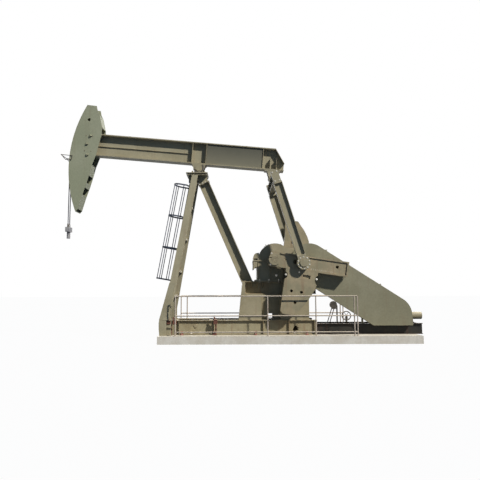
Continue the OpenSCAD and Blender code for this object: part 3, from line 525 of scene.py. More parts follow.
def on_pitman(u, y, w):
    """A point of the pitmans' frame: w up from the tail bearing along them."""
    return Vector((tail_x + u * math.cos(LEAN) - w * math.sin(LEAN), y,
                   tail_z + u * math.sin(LEAN) + w * math.cos(LEAN)))


def ring_at(centre, r, count, start, side):
    """Places of a ring of nuts about an axis across the unit; the start is in degrees."""
    turns = [math.radians(start + 360 / count * i) for i in range(count)]
    return [(Vector(centre) + Vector((r * math.cos(a), 0, r * math.sin(a))), (0, side, 0)) for a in turns]


sides = (-1, "near"), (1, "far")
for side, name in sides:
    hub = on_pitman(0, side * 1.445, -pitman_long)
    bolts("wrist_%s_bolts" % name, "pitmans", ring_at(hub, 0.222, 10, 20, side), 0.058, bolt_steel)


# Nuts of the post: six at each front foot, eight pairs that clamp the two plates of the joint of
# the rear leg, eight at its foot, those on and under the cap, and four on the bearing's feet.
def rows(xs, ys, z, way=1):
    """Places of nuts in rows at one height: they stand on it, or hang with way -1."""
    return [((x, y, z), (0, 0, way)) for x in xs for y in ys]


for side, name in sides:
    bolts("foot_%s_bolts" % name, "base",
          rows((-1.34, -1.2, -1.04), (side * 0.95 - 0.062, side * 0.95 + 0.062), 0.33), 0.052)
joint_out, joint_along = Vector((0.9172, 0, 0.3984)), Vector((-0.3984, 0, 0.9172))
joint = Vector((0.235, 0, 6.41))
foot_x, foot_top = 1.985, 2.405
rear_joint = []
for u in (-0.19, -0.065, 0.065, 0.19):
    for y in (-0.165, 0.165):
        rear_joint.append((joint + joint_out * u + Vector((0, y, 0)) + joint_along * 0.048, joint_along))
        rear_joint.append((joint + joint_out * u + Vector((0, y, 0)), -joint_along))
bolts("rear_joint_bolts", "base", rear_joint, 0.062, bolt_steel)
bolts("rear_foot_bolts", "base", rows([foot_x + x for x in (-0.2, -0.07, 0.07, 0.2)], (-0.193, 0.193),
                                      foot_top), 0.056)
bolts("cap_bolts", "base", rows((-0.43, -0.36, 0.35), (-0.40, -0.2, 0.2, 0.40), 6.815), 0.055)
bolts("cap_low_bolts", "base", rows((-0.43, 0.35), (-0.40, 0.40), 6.731, -1), 0.055, bolt_steel)
bolts("bearing_foot_bolts", "base", rows((-0.27, 0.27), (-0.2, 0.2), 6.839), 0.05)

# The rear leg of the post: a deep rolled I-section whose flanges face forward and back, so that
# the near side shows its web. It stands on a foot plate and is bolted to a boxed stub at the top.
def i_bar(depth, width, flange, web, long):
    """A rolled section along Z: its flanges face X. A grid of nine cells loses two and is drawn up."""
    bpy.ops.mesh.primitive_grid_add(x_subdivisions=3, y_subdivisions=3, size=1.0)
    bar = bpy.context.object
    edit(bar)
    bpy.ops.mesh.select_mode(type="VERT")
    for axis, half in ((0, depth / 2 - flange), (1, web / 2)):
        bm = bmesh.from_edit_mesh(bar.data)
        for v in bm.verts:
            v.select_set(abs(v.co[axis]) < 0.3)
        bm.select_flush_mode()
        bmesh.update_edit_mesh(bar.data)
        grow = [1.0, 1.0, 1.0]
        grow[axis] = half / (1 / 6) / (depth if axis == 0 else width)
        bpy.ops.transform.resize(value=grow)
    every()
    bpy.ops.transform.resize(value=(depth, width, 1.0))
    pick(lambda c, n: abs(c.x) < depth / 2 - flange - 0.001 and abs(c.y) > web / 2 + 0.001)
    bpy.ops.mesh.delete(type="FACE")
    every()
    pull(z=long)
    outward()
    return bar


def cut_flat(z, above):
    """Cuts the mesh being edited at a height and closes it; what lies above or below goes."""
    every()
    bpy.ops.mesh.bisect(plane_co=(0, 0, z), plane_no=(0, 0, 1), use_fill=True, clear_outer=above,
                        clear_inner=not above)


def flat_bar(low, high, round_off=0.004):
    """A plate or bar between two corners with its edges broken, left in edit mode."""
    bpy.ops.mesh.primitive_cube_add(size=1.0)
    bar = bpy.context.object
    edit(bar)
    bpy.ops.transform.resize(value=[b - a for a, b in zip(low, high)])
    bpy.ops.transform.translate(value=[(a + b) / 2 for a, b in zip(low, high)])
    break_edges(round_off)
    return bar


def shift(x, y, z):
    """The matrix of a move."""
    return Matrix.Translation((x, y, z))


def tip(angle):
    """The matrix of a turn about Y, the axis across the unit."""
    return Matrix.Rotation(angle, 4, "Y")


rear_lean = math.atan2(-1.75, 4.029)
leg = i_bar(0.43, 0.30, 0.028, 0.018, 4.393 + 0.3)
move(leg, shift(foot_x, 0, 2.381) @ tip(rear_lean)
     @ shift(0, 0, -0.3))
cut_flat(foot_top, False)
settle(leg, "rear_leg", "base", olive_paint)
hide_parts("post_leg_rear")
stub = flat_bar((-0.19, -0.15, 0.0), (0.19, 0.15, 0.75), 0.006)
at_joint = Matrix.Translation(joint) @ tip(rear_lean)
move(stub, at_joint @ shift(0, 0, 0.048))
cut_flat(6.7307, True)
settle(stub, "rear_leg_stub", "base", olive_paint)
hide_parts("post_leg_rear")
foot_plate = flat_bar((1.735, -0.23, 2.3813), (2.235, 0.23, foot_top))
settle(foot_plate, "rear_leg_foot", "base", olive_paint)
joint_plate = template(flat_bar((-0.235, -0.20, 0.0), (0.235, 0.20, 0.0238)))
copies(joint_plate, [at_joint, at_joint @ shift(0, 0, 0.0242)], "rear_leg_plates", "base",
       olive_paint)

# The ladder up the front of the post: two pipe stiles with welded rungs, held off the leg braces
# by flat lugs, painted dark blue grey.
cage_paint = painted("cage_paint", 0.001, (60, 66, 78), (74, 80, 92), (90, 58, 42),
                     Patch_Scale=2.0, Dust_Amount=0.35, Rust_Amount=0.3, Streak_Amount=0.3, Edge_Wear=0.2)
ladder_run, ladder_rise = 1.04, 5.816
lean = math.atan(ladder_run / ladder_rise)
stile_y = (-0.19, 0.19)


def at_ladder(z, x=0.0, y=0.0):
    """The frame of the ladder at a height: Z along its stiles, X behind it."""
    foot = Vector((-1.16 + (z - 0.915) * ladder_run / ladder_rise - 0.17, 0, z))
    return Matrix.Translation(foot) @ tip(lean) @ shift(x, y, 0)


def turned(rings, sides=20):
    """A turned shape about Z from (radius, height) rings: a disc that is drawn up step by step."""
    bpy.ops.mesh.primitive_circle_add(vertices=sides, radius=rings[0][0], fill_type="NGON",
                                      location=(0, 0, 0))
    made = bpy.context.object
    edit(made)
    every()
    bpy.ops.transform.translate(value=(0, 0, rings[0][1]))
    for (r0, z0), (r1, z1) in zip(rings, rings[1:]):
        pull(z=z1 - z0)
        if abs(r1 - r0) > 1e-6:
            bpy.ops.transform.resize(value=(r1 / r0, r1 / r0, 1), center_override=(0, 0, z1))
    outward()
    return template(made)


def pipe(r, long, sides=12):
    """A round bar along Z with its ends broken."""
    return turned([(r * 0.72, 0), (r, r * 0.28), (r, long - r * 0.28), (r * 0.72, long)], sides)


stile = pipe(0.022, 6.24 / math.cos(lean))
copies(stile, [at_ladder(0.36, 0, y) for y in stile_y], "ladder_stiles", "base",
       cage_paint)
rung = pipe(0.012, 0.366, 10)
rungs = copies(rung, [at_ladder(0.66 + 0.3 * i) @ Matrix.Rotation(-math.pi / 2, 4, "X")
                      @ shift(0, 0, -0.183) for i in range(20)],
               "ladder_rungs", "base", cage_paint)
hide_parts("ladder")
lug = template(flat_bar((0.0, -0.007, -0.02), (0.10, 0.007, 0.02), 0.002))
copies(lug, [at_ladder(z, 0.018, y) for z in (1.85, 2.85, 4.17, 5.46) for y in stile_y],
       "ladder_lugs", "base", cage_paint)

# The safety cage round the ladder: flat-bar hoops bent to a U and stood square to the ladder,
# with five round bars along their inside.
bpy.ops.mesh.primitive_plane_add(size=1.0)
hoop = bpy.context.object
edit(hoop)
bpy.ops.transform.rotate(value=math.pi / 2, orient_axis="Y", orient_type="GLOBAL",
                         center_override=(0, 0, 0))
bpy.ops.transform.resize(value=(1, 0.008, 0.06))
bpy.ops.transform.translate(value=(0.255, 0.331, 0))
pull(x=-0.255)
bpy.ops.mesh.spin(steps=20, angle=-math.pi, center=(0, 0, 0), axis=(0, 0, 1))
pull(x=0.255)
every()
bpy.ops.mesh.remove_doubles(threshold=0.0002)
bpy.ops.mesh.normals_make_consistent(inside=False)
hoop = template(hoop)
strap = template(flat_bar((-0.075, 0.213, -0.03), (-0.065, 0.331, 0.03), 0.002))
tab = template(flat_bar((-0.075, 0.213, -0.03), (0.012, 0.221, 0.03), 0.002))
bar_shape = pipe(0.017, 3.86 / math.cos(lean) + 0.06, 10)
hoop_heights = (2.43, 3.70, 5.00, 6.29)
hoops = copies(hoop, [at_ladder(z, -0.32) for z in hoop_heights], "cage_u_hoops", "base",
               cage_paint)
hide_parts("cage_hoops")
for shape, name, across in ((strap, "cage_straps", 0.544), (tab, "cage_tabs", 0.434)):
    copies(shape, [at_ladder(z, 0, y) for z in hoop_heights for y in (0, -across)], name, "base",
           cage_paint)
inner = 0.327 - 0.017
cage_lines = [(-0.32 - inner * math.cos(a), inner * math.sin(a)) for a in map(math.radians, (-55, 0, 55))]
cage_lines += [(-0.21, -inner), (-0.21, inner)]
bars = copies(bar_shape, [at_ladder(2.43, x, y) @ shift(0, 0, -0.03) for x, y in cage_lines],
              "cage_uprights", "base", cage_paint)
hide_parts("cage_bars")

# The cap of the post: a wide top plate over a set-back box of plates, so that its rim throws the
# box in shade. The centre bearing stands on it, and two short gussets hang below its front.
cap_top = flat_bar((-0.49, -0.47, 6.787), (0.39, 0.47, 6.8148), 0.003)
settle(cap_top, "cap_top_plate", "base", olive_paint)
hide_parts("post_cap")
cap_box = flat_bar((-0.415, -0.385, 6.7312), (0.33, 0.385, 6.787), 0.003)
settle(cap_box, "cap_box", "base", olive_paint)
cap_low = flat_bar((-0.47, -0.44, 6.718), (0.37, 0.44, 6.7308), 0.002)
settle(cap_low, "cap_low_plate", "base", olive_paint)
gusset = flat_bar((-0.40, -0.01, 6.44), (-0.13, 0.01, 6.72), 0.002)
pick(lambda c, n: n.z < -0.9)
bpy.ops.transform.resize(value=(0.25, 1, 1), center_override=(-0.13, 0, 6.44))
copies(template(gusset), [shift(0, y, 0) for y in (-0.15, 0.15)], "cap_gussets", "base",
       olive_paint)

# A dark strip round the lower half of each housing of the centre bearing: painted shade that
# stands for the shaded gap under the housing.
pivot_z = 7.06  # the axis of the bearing


def bent_strip(thick, wide, r, steps, angle):
    """A strip bent round the Y axis over an angle in degrees, left in edit mode."""
    bpy.ops.mesh.primitive_plane_add(size=1.0)
    strip = bpy.context.object
    edit(strip)
    bpy.ops.transform.resize(value=(thick, wide, 1))
    bpy.ops.transform.translate(value=(r, 0, 0))
    bpy.ops.mesh.spin(steps=steps, angle=math.radians(angle), center=(0, 0, 0), axis=(0, 1, 0))
    outward()
    return strip


for side, name in sides:
    shade_strip = bent_strip(0.052, 0.018, 0.196, 28, 205)
    settle(shade_strip, "bearing_shade_strip_%s" % name, "base", dark_steel,
           shift(0, side * 0.239, pivot_z) @ tip(math.radians(168)))

# The long stiffening rib along each side of the beam web, from the head to the bearing: a flat
# bar welded on by its edge at about mid depth, its ends broken.
TILT = math.radians(4.94)


def on_beam(s, y, n):
    """A point of the beam's frame, in metres: s along it to the tail, n up from the pivot."""
    return Vector((s * math.cos(TILT) + n * math.sin(TILT), y,
                   pivot_z - s * math.sin(TILT) + n * math.cos(TILT)))


def beam_way(s, y, n):
    """A direction of the beam's frame."""
    return on_beam(s, y, n) - on_beam(0, 0, 0)


def slab(x, y, z):
    """A block of that size about the origin, left in edit mode."""
    bpy.ops.mesh.primitive_cube_add(size=1.0)
    made = bpy.context.object
    made.scale = (x, y, z)
    bpy.ops.object.transform_apply(location=False, rotation=False, scale=True)
    edit(made)
    return made


for side, name in sides:
    rib = slab(3.96, 0.045, 0.012)
    pick(lambda c, n: abs(n.x) > 0.9)
    bpy.ops.mesh.inset(thickness=0.002)
    bpy.ops.mesh.extrude_region_shrink_fatten(TRANSFORM_OT_shrink_fatten={"value": 0.02})
    every()
    break_edges(0.002)
    settle(rib, "web_rib_%s" % name, "beam", olive_paint,
           Matrix.Translation(on_beam(-2.345, side * 0.0355, 0.60)) @ tip(TILT))

# The walking beam: a deep welded I-section, its tail cut off on a slope under a full-width plate.
# Flat stiffeners stand between the flanges over the saddle and at both ends of the box plates,
# tapered gussets stand over the tail bearing, and two lifting lugs on top.
beam_at = shift(0, 0, pivot_z) @ tip(TILT)
tail_cut = 0.604, 0.40  # the way that the sloping cut of the tail faces
beam = i_bar(0.914, 0.42, 0.04, 0.026, 7.99)
move(beam, shift(-4.48, 0, 0.622) @ tip(math.pi / 2))
every()
bpy.ops.mesh.bisect(plane_co=(3.11, 0, 1.079), plane_no=(tail_cut[0], 0, tail_cut[1]), use_fill=True,
                    clear_outer=True)
settle(beam, "beam_section", "beam", olive_paint, beam_at)
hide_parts("walking_beam")
half_turn = Matrix.Rotation(math.pi, 4, "Z")


def both_sides(places):
    """Stands a plate of the beam's near side at each place along it, and its twin on the far side."""
    return [beam_at @ shift(s, 0, 0) @ turn for s in places
            for turn in (Matrix.Identity(4), half_turn)]


stiffener = template(flat_bar((-0.009, -0.203, 0.2045), (0.009, -0.0125, 1.0395), 0.002))
copies(stiffener, both_sides((-0.316, 0.265, 2.62)), "beam_stiffeners", "beam", olive_paint)
gusset = flat_bar((-0.008, -0.2, 0.2045), (0.008, -0.0125, 0.66), 0.002)
pick(lambda c, n: n.z > 0.9)
bpy.ops.transform.resize(value=(1, 0.12, 1), center_override=(0, -0.0125, 0.66))
copies(template(gusset), both_sides((2.93, 3.19)), "tail_gussets", "beam", olive_paint)
slant = math.atan2(*tail_cut)
end_plate = flat_bar((-0.006, -0.21, -0.005), (0.012, 0.21, 0.725), 0.002)
settle(end_plate, "tail_end_plate", "beam", olive_paint,
       beam_at @ shift(3.51, 0, 0.475) @ tip(slant - math.pi / 2))
lug = flat_bar((-0.045, -0.008, 1.0785), (0.045, 0.008, 1.145), 0.002)
pick(lambda c, n: n.z > 0.9)
bpy.ops.transform.resize(value=(0.4, 1, 1), center_override=(0, 0, 1.145))
copies(template(lug), [beam_at @ shift(s, 0, 0) for s in (-2.99, 1.915)],
       "beam_lifting_lugs", "beam", olive_paint)

# The box plates that close the beam on both sides behind the bearing, set in from the edges of the
# flanges, with a slightly sunk middle. Their colour is darker toward the top.
box_group, gin, gout = new_group("top_dark_gradient", [
    ("Plate", COLOUR, (0.2, 0.2, 0.2, 1)), ("Mist", COLOUR, (0.05, 0.05, 0.05, 1)), ("Low", FLOAT, 0.2),
    ("High", FLOAT, 1.0)], [("Color", COLOUR), ("Roughness", FLOAT), ("Height", FLOAT)])
t = box_group
spot = t.nodes.new("ShaderNodeTexCoord").outputs["Object"]
axes = t.nodes.new("ShaderNodeSeparateXYZ")
t.links.new(spot, axes.inputs[0])
up_beam = maths(t, "ADD", maths(t, "MULTIPLY", axes.outputs["X"], math.sin(TILT)),
                maths(t, "MULTIPLY", maths(t, "SUBTRACT", axes.outputs["Z"], pivot_z), math.cos(TILT)))
cloud = noise(t, spot, 2.6, 6, 0.6)
rise = t.nodes.new("ShaderNodeMapRange")
t.links.new(maths(t, "ADD", up_beam, maths(t, "MULTIPLY", cloud, 0.25)), rise.inputs["Value"])
t.links.new(gin.outputs["Low"], rise.inputs["From Min"])
t.links.new(gin.outputs["High"], rise.inputs["From Max"])
tone = colour_mix(t, rise.outputs["Result"], gin.outputs["Plate"], gin.outputs["Mist"])
speck = noise(t, spot, 38.0, 4, 0.6)
shade = colour_mix(t, speck, (0.86, 0.86, 0.86, 1), (1.12, 1.12, 1.1, 1))
tone = colour_mix(t, 1.0, tone, shade, "MULTIPLY")
t.links.new(tone, gout.inputs["Color"])
t.links.new(maths(t, "ADD", maths(t, "MULTIPLY", speck, 0.3), 0.4), gout.inputs["Roughness"])
t.links.new(speck, gout.inputs["Height"])
# The plates' colour darkens from the plate tone at the bottom to a dark tone toward the top.
top_darkened = from_group("top_darkened_plate", box_group, 0.001, Plate=srgb(108, 104, 87), Mist=srgb(62, 62, 54),
                    Low=0.35, High=1.25)
box_plate = flat_bar((0.2765, -0.165, 0.207), (2.6085, -0.145, 1.037), 0.004)
pick(lambda c, n: n.y < -0.9)
bpy.ops.mesh.inset(thickness=0.03)
pull(y=0.004)
turned_plate = shift(2.885, 0, 0) @ half_turn
boxes = copies(template(box_plate), [beam_at, beam_at @ turned_plate], "box_plates", "beam", top_darkened)
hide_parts("beam_boxes")

# Nuts of the beam: on its lower flange and below it at the saddle and at the tail bearing, and
# the ones that hold the head's side plates to the beam.
up, down = beam_way(0, 0, 1), beam_way(0, 0, -1)
for name, stations, y, low, way, finish in (
        ("saddle_bolts", (-0.25, -0.09, 0.09, 0.23), 0.17, 0.205, up, worn_bolt),
        ("saddle_low_bolts", (-0.28, 0.27), 0.17, 0.135, down, worn_bolt),
        ("tail_bolts", (2.76, 3.05, 3.33), 0.16, 0.205, up, worn_bolt),
        ("tail_low_bolts", (2.76, 3.33), 0.16, 0.125, down, bolt_steel)):
    bolts(name, "beam", [(on_beam(s, w, low), way) for s in stations for w in (-y, y)], 0.055, finish)
head_rows = [(s, n) for s in (-4.46, -4.72) for n in (0.30, 0.93)]
bolts("head_bolts", "beam", [(on_beam(s, side * 0.31, n), (0, side, 0)) for s, n in head_rows
                             for side in (-1, 1)], 0.05)

# Three small lifting lugs on the outside of each head plate: flame-cut triangles, welded on.
# One is modelled and copied.
bpy.ops.mesh.primitive_cylinder_add(vertices=3, radius=0.075, depth=0.05)
lug_shape = bpy.context.object
edit(lug_shape)
pick(lambda c, n: abs(n.z) < 0.3)
break_edges(0.012, 2)
pick(lambda c, n: n.z > 0.9)
bpy.ops.mesh.inset(thickness=0.014)
pull(z=0.008)
template(lug_shape)
for side, name in sides:
    copies(lug_shape, [facing_at(on_beam(s, side * 0.333, n), (0, side, 0), 1.0, turn)
                       for s, n, turn in ((-4.547, 0.931, 0.4), (-4.666, 0.586, 0.2), (-4.592, 0.124, 0.5))],
           "head_lugs_%s" % name, "beam", head_paint)

# Nuts of the pitmans: four bright ones on each end block at the equalizer, and four on each
# foot plate at the wrist bearings.
pitman_y = 1.35
pin_up = on_pitman(0, 0, 1) - on_pitman(0, 0, 0)
for side, name in sides:
    top = [(on_pitman(u, side * 1.464, w), (0, side, 0)) for u in (-0.09, 0.09) for w in (-0.06, -0.42)]
    foot = [(on_pitman(u, side * pitman_y + y, -pitman_long + 0.32), pin_up) for u in (-0.14, 0.14)
            for y in (-0.06, 0.06)]
    bolts("pitman_%s_bolts" % name, "pitmans", top + foot, 0.055, bolt_steel)

# The two wire ropes of the bridle: six-strand steel rope, laid round the arc of the head and
# hanging from it to the carrier bar. A sixth of one lay is modelled, repeated along the rope,
# and bent round the arc on the head.
rope_wire = painted("rope_wire", 0.001, (62, 70, 88), (50, 54, 66), (98, 66, 46), dust=(120, 112, 96),
                    metal=0.15, Patch_Scale=3.0, Dust_Amount=0.2, Rust_Amount=0.3, Streak_Amount=0.2,
                    Edge_Wear=0.3)
rope_r, rope_half, rope_thick, lay_part = 5.334, 0.100, 0.036, 0.24 / 6  # metres
bpy.ops.mesh.primitive_circle_add(vertices=24, radius=rope_thick / 2, fill_type="NOTHING")
lay_shape = bpy.context.object
edit(lay_shape)
bpy.ops.mesh.select_mode(type="VERT")
ring = bmesh.from_edit_mesh(lay_shape.data)
for v in ring.verts:
    v.select_set(round(math.atan2(v.co.y, v.co.x) / math.radians(15)) % 4 == 0)
bmesh.update_edit_mesh(lay_shape.data)
bpy.ops.transform.resize(value=(0.74, 0.74, 1.0))
every()
steps = 3
for i in range(steps):
    pull(z=lay_part / steps)
    bpy.ops.transform.rotate(value=math.radians(60.0) / steps, orient_axis="Z", orient_type="GLOBAL",
                             center_override=(0, 0, 0))
outward()
template(lay_shape)


def laid(name, length):
    """A straight rope of a length, from the origin up its own Z, with closed ends."""
    lay_count = round(length / lay_part)
    rope = bpy.data.objects.new(name, lay_shape.data.copy())
    bpy.context.scene.collection.objects.link(rope)
    only(rope)
    array = rope.modifiers.new("lays", "ARRAY")
    array.count = lay_count
    array.use_relative_offset = False
    array.use_constant_offset = True
    array.constant_offset_displace = (0, 0, lay_part)
    array.use_merge_vertices = True
    array.merge_threshold = 0.0005
    bpy.ops.object.modifier_apply(modifier="lays")
    rope.scale = (1, 1, length / (lay_part * lay_count))
    bpy.ops.object.transform_apply(location=False, rotation=False, scale=True)
    edit(rope)
    every()
    bpy.ops.mesh.fill_holes(sides=64)
    leave()
    return rope


bpy.ops.curve.primitive_bezier_circle_add(radius=rope_r)
arc = bpy.context.object
arc.data.resolution_u = 64
hang_low, wrap = 4.6203, rope_r * (TILT + math.radians(25))
for i, y in enumerate((-rope_half, rope_half)):
    rope = laid("hanging_rope_%d" % (i + 1), pivot_z - hang_low)
    settle(rope, rope.name, None, rope_wire, shift(-rope_r, y, hang_low), 60)
    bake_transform(rope)
    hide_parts("hanging_ropes")
    rope = laid("wrapped_rope_%d" % (i + 1), wrap)
    arc.matrix_world = (shift(0, y, pivot_z) @ Matrix.Rotation(math.pi / 2, 4, "X")
                        @ Matrix.Rotation(-math.pi / 2, 4, "Z"))
    bpy.context.view_layer.update()
    rope.matrix_world = arc.matrix_world
    bent = rope.modifiers.new("wrap", "CURVE")
    bent.object = arc
    bent.deform_axis = "POS_Z"
    bpy.ops.object.modifier_apply(modifier="wrap")
    settle(rope, rope.name, "beam", rope_wire, angle=60)
    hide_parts("wrapped_ropes")
bpy.data.objects.remove(arc)

# The sockets at the lower ends of the ropes, standing on the carrier bar: turned steel with a
# grooved collar, without paint.
socket_shape = turned([(0.030, 0), (0.036, 0.006), (0.036, 0.05), (0.031, 0.056), (0.031, 0.075),
                       (0.034, 0.08), (0.022, 0.16), (0.0195, 0.165)])
copies(socket_shape, [shift(-rope_r, y, 4.6205) for y in (-rope_half, rope_half)],
       "rope_sockets", "carrier", dark_steel)

# The end cap of the crank shaft, in the bore of each crank: a turned disc with a ring groove and
# a sunk middle, held by six screws and painted over.
DIP = math.radians(8.4)
shaft_x, shaft_z = 3.048, 3.225


def on_crank(u, y, v):
    """A point of the cranks' frame: u along them to the tip, v up."""
    return Vector((shaft_x + u * math.cos(DIP) + v * math.sin(DIP), y,
                   shaft_z - u * math.sin(DIP) + v * math.cos(DIP)))


cap_shape = turned([(0.1285, 0), (0.1285, 0.007), (0.124, 0.0115), (0.098, 0.0115), (0.096, 0.008),
                    (0.086, 0.008), (0.084, 0.0115), (0.03, 0.0115), (0.026, 0.006), (0.012, 0.006)], 48)
for side, name in sides:
    copies(cap_shape, [facing_at(on_crank(0, side * 1.1885, 0), (0, side, 0))], "shaft_cap_%s" % name,
           "cranks", crank_paint)
    bolts("shaft_cap_%s_screws" % name, "cranks",
          ring_at(on_crank(0, side * 1.1995, 0), 0.062, 6, 30 - math.degrees(DIP), side), 0.022)

# Bright nuts of the cranks: three on each low counterweight, which hold it to the crank, two at
# the clamp of the shaft boss and two on the upper rim.
for side, name in sides:
    faced = ((0.498, 1.2, -0.53), (1.692, 1.2, -0.547), (0.997, 1.2, -0.369),
             (-0.136, 1.16, -0.235), (-0.15, 1.16, 0.2))
    places = [(on_crank(u, side * y, v), (0, side, 0)) for u, y, v in faced]
    places += [(on_crank(u, side * 1.055, 0.29), beam_way(0, 0, 1)) for u in (1.7, 2.2)]
    bolts("weight_%s_bolts" % name, "cranks", places, 0.062, bolt_steel)

# The scale on the lower rim of each crank, by which the weights are set: twelve short upright
# marks, raised a little and rubbed bright. Every fifth is longer.
mark_shape = slab(0.012, 0.004, 0.04)
pick(lambda c, n: n.y < -0.9)
bpy.ops.mesh.inset(thickness=0.0015)
pull(y=-0.001)
template(mark_shape)
crank_turn = tip(DIP)
for side, name in sides:
    copies(mark_shape, [Matrix.Translation(on_crank(1.45 + 0.075 * i, side * 1.162, -0.19)) @ crank_turn
                        @ Matrix.Scale(1.5 if i % 5 == 0 else 1.0, 4, (0, 0, 1)) for i in range(12)],
           "crank_marks_%s" % name, "cranks", bolt_steel)

# Nuts of the gear reducer: a ring on each bearing cap, pairs along the split flange, and the
# big bright ones that hold its feet to the top plate.
for side, name in sides:
    rings = ring_at((shaft_x, side * 0.6403, shaft_z), 0.235, 12, 15, side)
    rings += ring_at((3.76, side * 0.5953, 3.205), 0.142, 6, 30, side)
    bolts("cap_ring_bolts_" + name, "base", rings, 0.042)
    split = (2.29, 2.48, 2.67, 3.44, 4.04, 4.22, 4.64)
    bolts("split_bolts_" + name, "base", [((x, side * 0.533, z), (0, 0, w)) for x in split
                                          for z, w in ((3.23, 1), (3.18, -1))], 0.046)
    bolts("case_foot_bolts_" + name, "base",
          [((x, side * 0.55, z), (0, 0, w)) for x in (2.47, 2.84, 3.24, 3.64, 4.04, 4.44)
           for z, w in ((2.441, 1), (2.351, -1))], 0.072, bolt_steel)

# The inspection cover on the sloping top of the case: a pressed plate with a raised middle, held
# by bolts round its rim, and beside it the breather with its mushroom cap.
lid_x, lid_z = 3.478, 3.737
slope = math.atan2(0.182, 1.022)
top_way = Vector((math.sin(slope), 0, math.cos(slope)))


def on_lid(x, y):
    """A point of the sloping top of the case."""
    return Vector((x, y, lid_z - (x - lid_x) * math.tan(slope)))


cover = flat_bar((-0.31, -0.28, 0.0), (0.31, 0.28, 0.018), 0.003)
pick(lambda c, n: n.z > 0.9)
bpy.ops.mesh.inset(thickness=0.045)
pull(z=0.018)
bpy.ops.transform.resize(value=(0.96, 0.96, 1))
bpy.ops.mesh.inset(thickness=0.03)
pull(z=-0.005)
cover_x, rim_x, rim_y = 3.98, 0.288, 0.258
settle(cover, "inspection_cover", "base", gear_paint,
       Matrix.Translation(on_lid(cover_x, 0) + top_way * 0.001) @ tip(slope))
rim = [(x, y) for x in (-rim_x, rim_x) for y in (-0.2, 0, 0.2)] + [(0, -rim_y), (0, rim_y)]
bolts("cover_bolts", "base", [(on_lid(cover_x + x, y) + top_way * 0.018, top_way) for x, y in rim], 0.03)
breather = turned([(0.05, 0), (0.05, 0.02), (0.03, 0.025), (0.03, 0.09), (0.07, 0.1), (0.075, 0.115),
                   (0.06, 0.15), (0.02, 0.162)])
copies(breather, [Matrix.Translation(on_lid(4.42, 0.22))], "breather", "base", gear_paint)

# Lifting eyes on the shoulders of the case: bent bars welded on the dome. One arch is spun and
# copied to the four corners.
bpy.ops.mesh.primitive_circle_add(vertices=10, radius=0.016, location=(0.06, 0, 0))
eye_shape = bpy.context.object
edit(eye_shape)
every()
pull(z=0.04)
bpy.ops.mesh.spin(steps=10, angle=-math.pi, center=(0, 0, 0.04), axis=(0, 1, 0))
pull(z=-0.04)
every()
bpy.ops.mesh.remove_doubles(threshold=0.0005)
bpy.ops.mesh.fill_holes(sides=16)
bpy.ops.mesh.normals_make_consistent(inside=False)
template(eye_shape)
dome_x, dome_r = 3.098, 0.67
copies(eye_shape, [shift(dome_x + x, y, shaft_z + math.sqrt(dome_r ** 2 - x ** 2) - 0.012)
                   for x in (-0.25, 0.25) for y in (-0.36, 0.36)],
       "lifting_eyes", "base", gear_paint)

# The oil level glasses and the drain plugs, low on both sides of the case. One turned form, a
# bright collar round a sunk disc, stands for both.
gauge = turned([(0.045, 0), (0.045, 0.018), (0.032, 0.022), (0.032, 0.012), (0.01, 0.012)], 24)
copies(gauge, [facing_at((x, side * 0.5, z), (0, side, 0)) for x, z in ((3.15, 2.62), (4.2, 2.55))
               for side in (-1, 1)],
       "oil_gauges", "base", bolt_steel)

# The seam along the top of the belt guard, where the sheets of its two halves are folded over
# each other and held by a row of nine screws.
input_x, input_z, motor_x, motor_z = 4.43, 3.12, 7.67, 1.165
guard_slope, guard_r = math.radians(32.8), 0.745
guard_up = Vector((math.sin(guard_slope), 0, math.cos(guard_slope)))
guard_top = [Vector((x, 0, z)) + guard_up * guard_r for x, z in ((input_x, input_z), (motor_x, 1.04))]
run = guard_top[1] - guard_top[0]
seam_start = Vector((guard_top[0].x, -0.7025, guard_top[0].z))
seam = slab(run.length - 0.3, 0.030, 0.012)
pick(lambda c, n: n.z > 0.9)
bpy.ops.mesh.inset(thickness=0.006)
pull(z=0.01)
every()
break_edges(0.002)
settle(seam, "guard_seam", "base", gear_paint,
       Matrix.Translation(seam_start + run / 2) @ tip(math.atan2(-run.z, run.x)))
bolts("guard_screws", "base", [(seam_start + run * (0.08 + 0.105 * i) + guard_up * 0.011, guard_up)
                                for i in range(9)], 0.024)

# The motor: a ring of eight nuts on each end bell, the fan cowl with its ring grooves at the far
# end, the terminal box on the side and the nuts of its feet.
for side, y, name in ((-1, -0.5807, "near"), (1, 0.5693, "far")):
    bolts("end_bell_bolts_" + name, "base", ring_at((motor_x, y, motor_z), 0.24, 8, 22.5, side), 0.036)
cowl = turned([(0.285, 0), (0.285, 0.06), (0.27, 0.08), (0.23, 0.088), (0.225, 0.08), (0.205, 0.08),
               (0.2, 0.088), (0.17, 0.088), (0.165, 0.08), (0.145, 0.08), (0.14, 0.088), (0.11, 0.088),
               (0.105, 0.08), (0.085, 0.08), (0.08, 0.088), (0.03, 0.088)], 40)
copies(cowl, [facing_at((motor_x, 0.5693, motor_z), (0, 1, 0))], "fan_cowl", "base", gear_paint)
box = slab(0.13, 0.3, 0.26)
every()
break_edges(0.012, 2)
pick(lambda c, n: n.x < -0.99)
bpy.ops.mesh.inset(thickness=0.02)
pull(x=-0.012)
settle(box, "terminal_box", "base", gear_paint, shift(motor_x - 0.375, 0.05, 1.2))
bolts("motor_foot_bolts", "base", rows((motor_x - 0.32, motor_x + 0.32), (-0.37, 0.30), 0.7955), 0.05,
      bolt_steel)

# The brake band on the far end of the input shaft: a steel strip bent round the drum, open over
# thirty degrees.
band = bent_strip(0.006, 0.09, 0.334, 40, 330)
settle(band, "brake_band", "base", dark_steel,
       shift(input_x, 0.65, input_z) @ tip(math.radians(-75)))

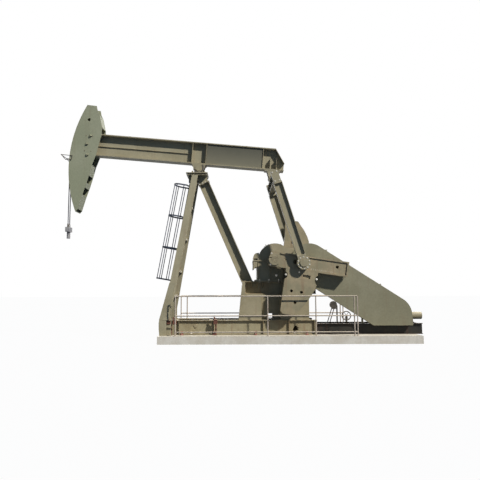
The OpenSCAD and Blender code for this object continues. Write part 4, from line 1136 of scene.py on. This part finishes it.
# Anchor nuts: on the hold-downs along both base rails, and two at the foot of each railing
# post.
rail_y = 1.35
rail_posts = {-1: (-0.76, 2.74, 4.57, 6.03, 6.15), 1: (-0.833, -0.572, 2.74, 4.57, 6.03, 6.15)}
for side, name in sides:
    bolts("anchor_bolts_" + name, "base", rows((-0.56, 0.69, 2.3, 4.29), (side * 0.855,), 0.352), 0.05,
          bolt_steel)
    feet = [x + dx for x in rail_posts[side] for dx in (-0.039, 0.039)]
    bolts("post_foot_bolts_" + name, "base", rows(feet, (side * rail_y,), 0.312), 0.022, bolt_steel)

# Collars of the railing: a plain ring round each middle post where its two lower rails cross.
# One is turned and copied to the crossings.
collar = turned([(0.0225, 0), (0.031, 0.0), (0.033, 0.006), (0.033, 0.05), (0.031, 0.056), (0.0225, 0.056)])
for side, name in sides:
    copies(collar, [shift(x, side * rail_y, z - 0.028) for x in rail_posts[side][1:-1]
                    for z in (0.45, 1.06)],
           "rail_collars_" + name, "base", rail_paint)

# Hold-down gear at the near rail: three cast blocks with a sunk side and two flat straps with a
# bent foot, in old red-brown primer.
old_clamp = painted("old_clamp", 0.004, (78, 46, 38), (98, 66, 54), (66, 36, 26))
block = flat_bar((-0.075, -0.05, 0.0), (0.075, 0.05, 0.2), 0.012)
pick(lambda c, n: n.z > 0.9)
bpy.ops.transform.resize(value=(0.62, 0.8, 1))
pull(-0.05, 0, 0.09)
bpy.ops.transform.resize(value=(0.6, 0.7, 1))
pick(lambda c, n: n.y < -0.9)
bpy.ops.mesh.inset(thickness=0.025)
pull(y=0.012)
copies(template(block), [shift(x, -0.95, z) for x, z in
                         ((-1.06, 0.73), (-0.83, 0.71), (0.74, 0.72))], "clamp_blocks", "base",
       old_clamp)
strap = flat_bar((-0.03, -0.008, -0.46), (0.03, 0.008, 0.02), 0.003)
pick(lambda c, n: n.z < -0.9)
pull(0.05, -0.04, -0.04)
copies(template(strap), [shift(x, -0.93, 0.76) for x in (-0.96, 0.76)], "clamp_straps",
       "base", old_clamp)
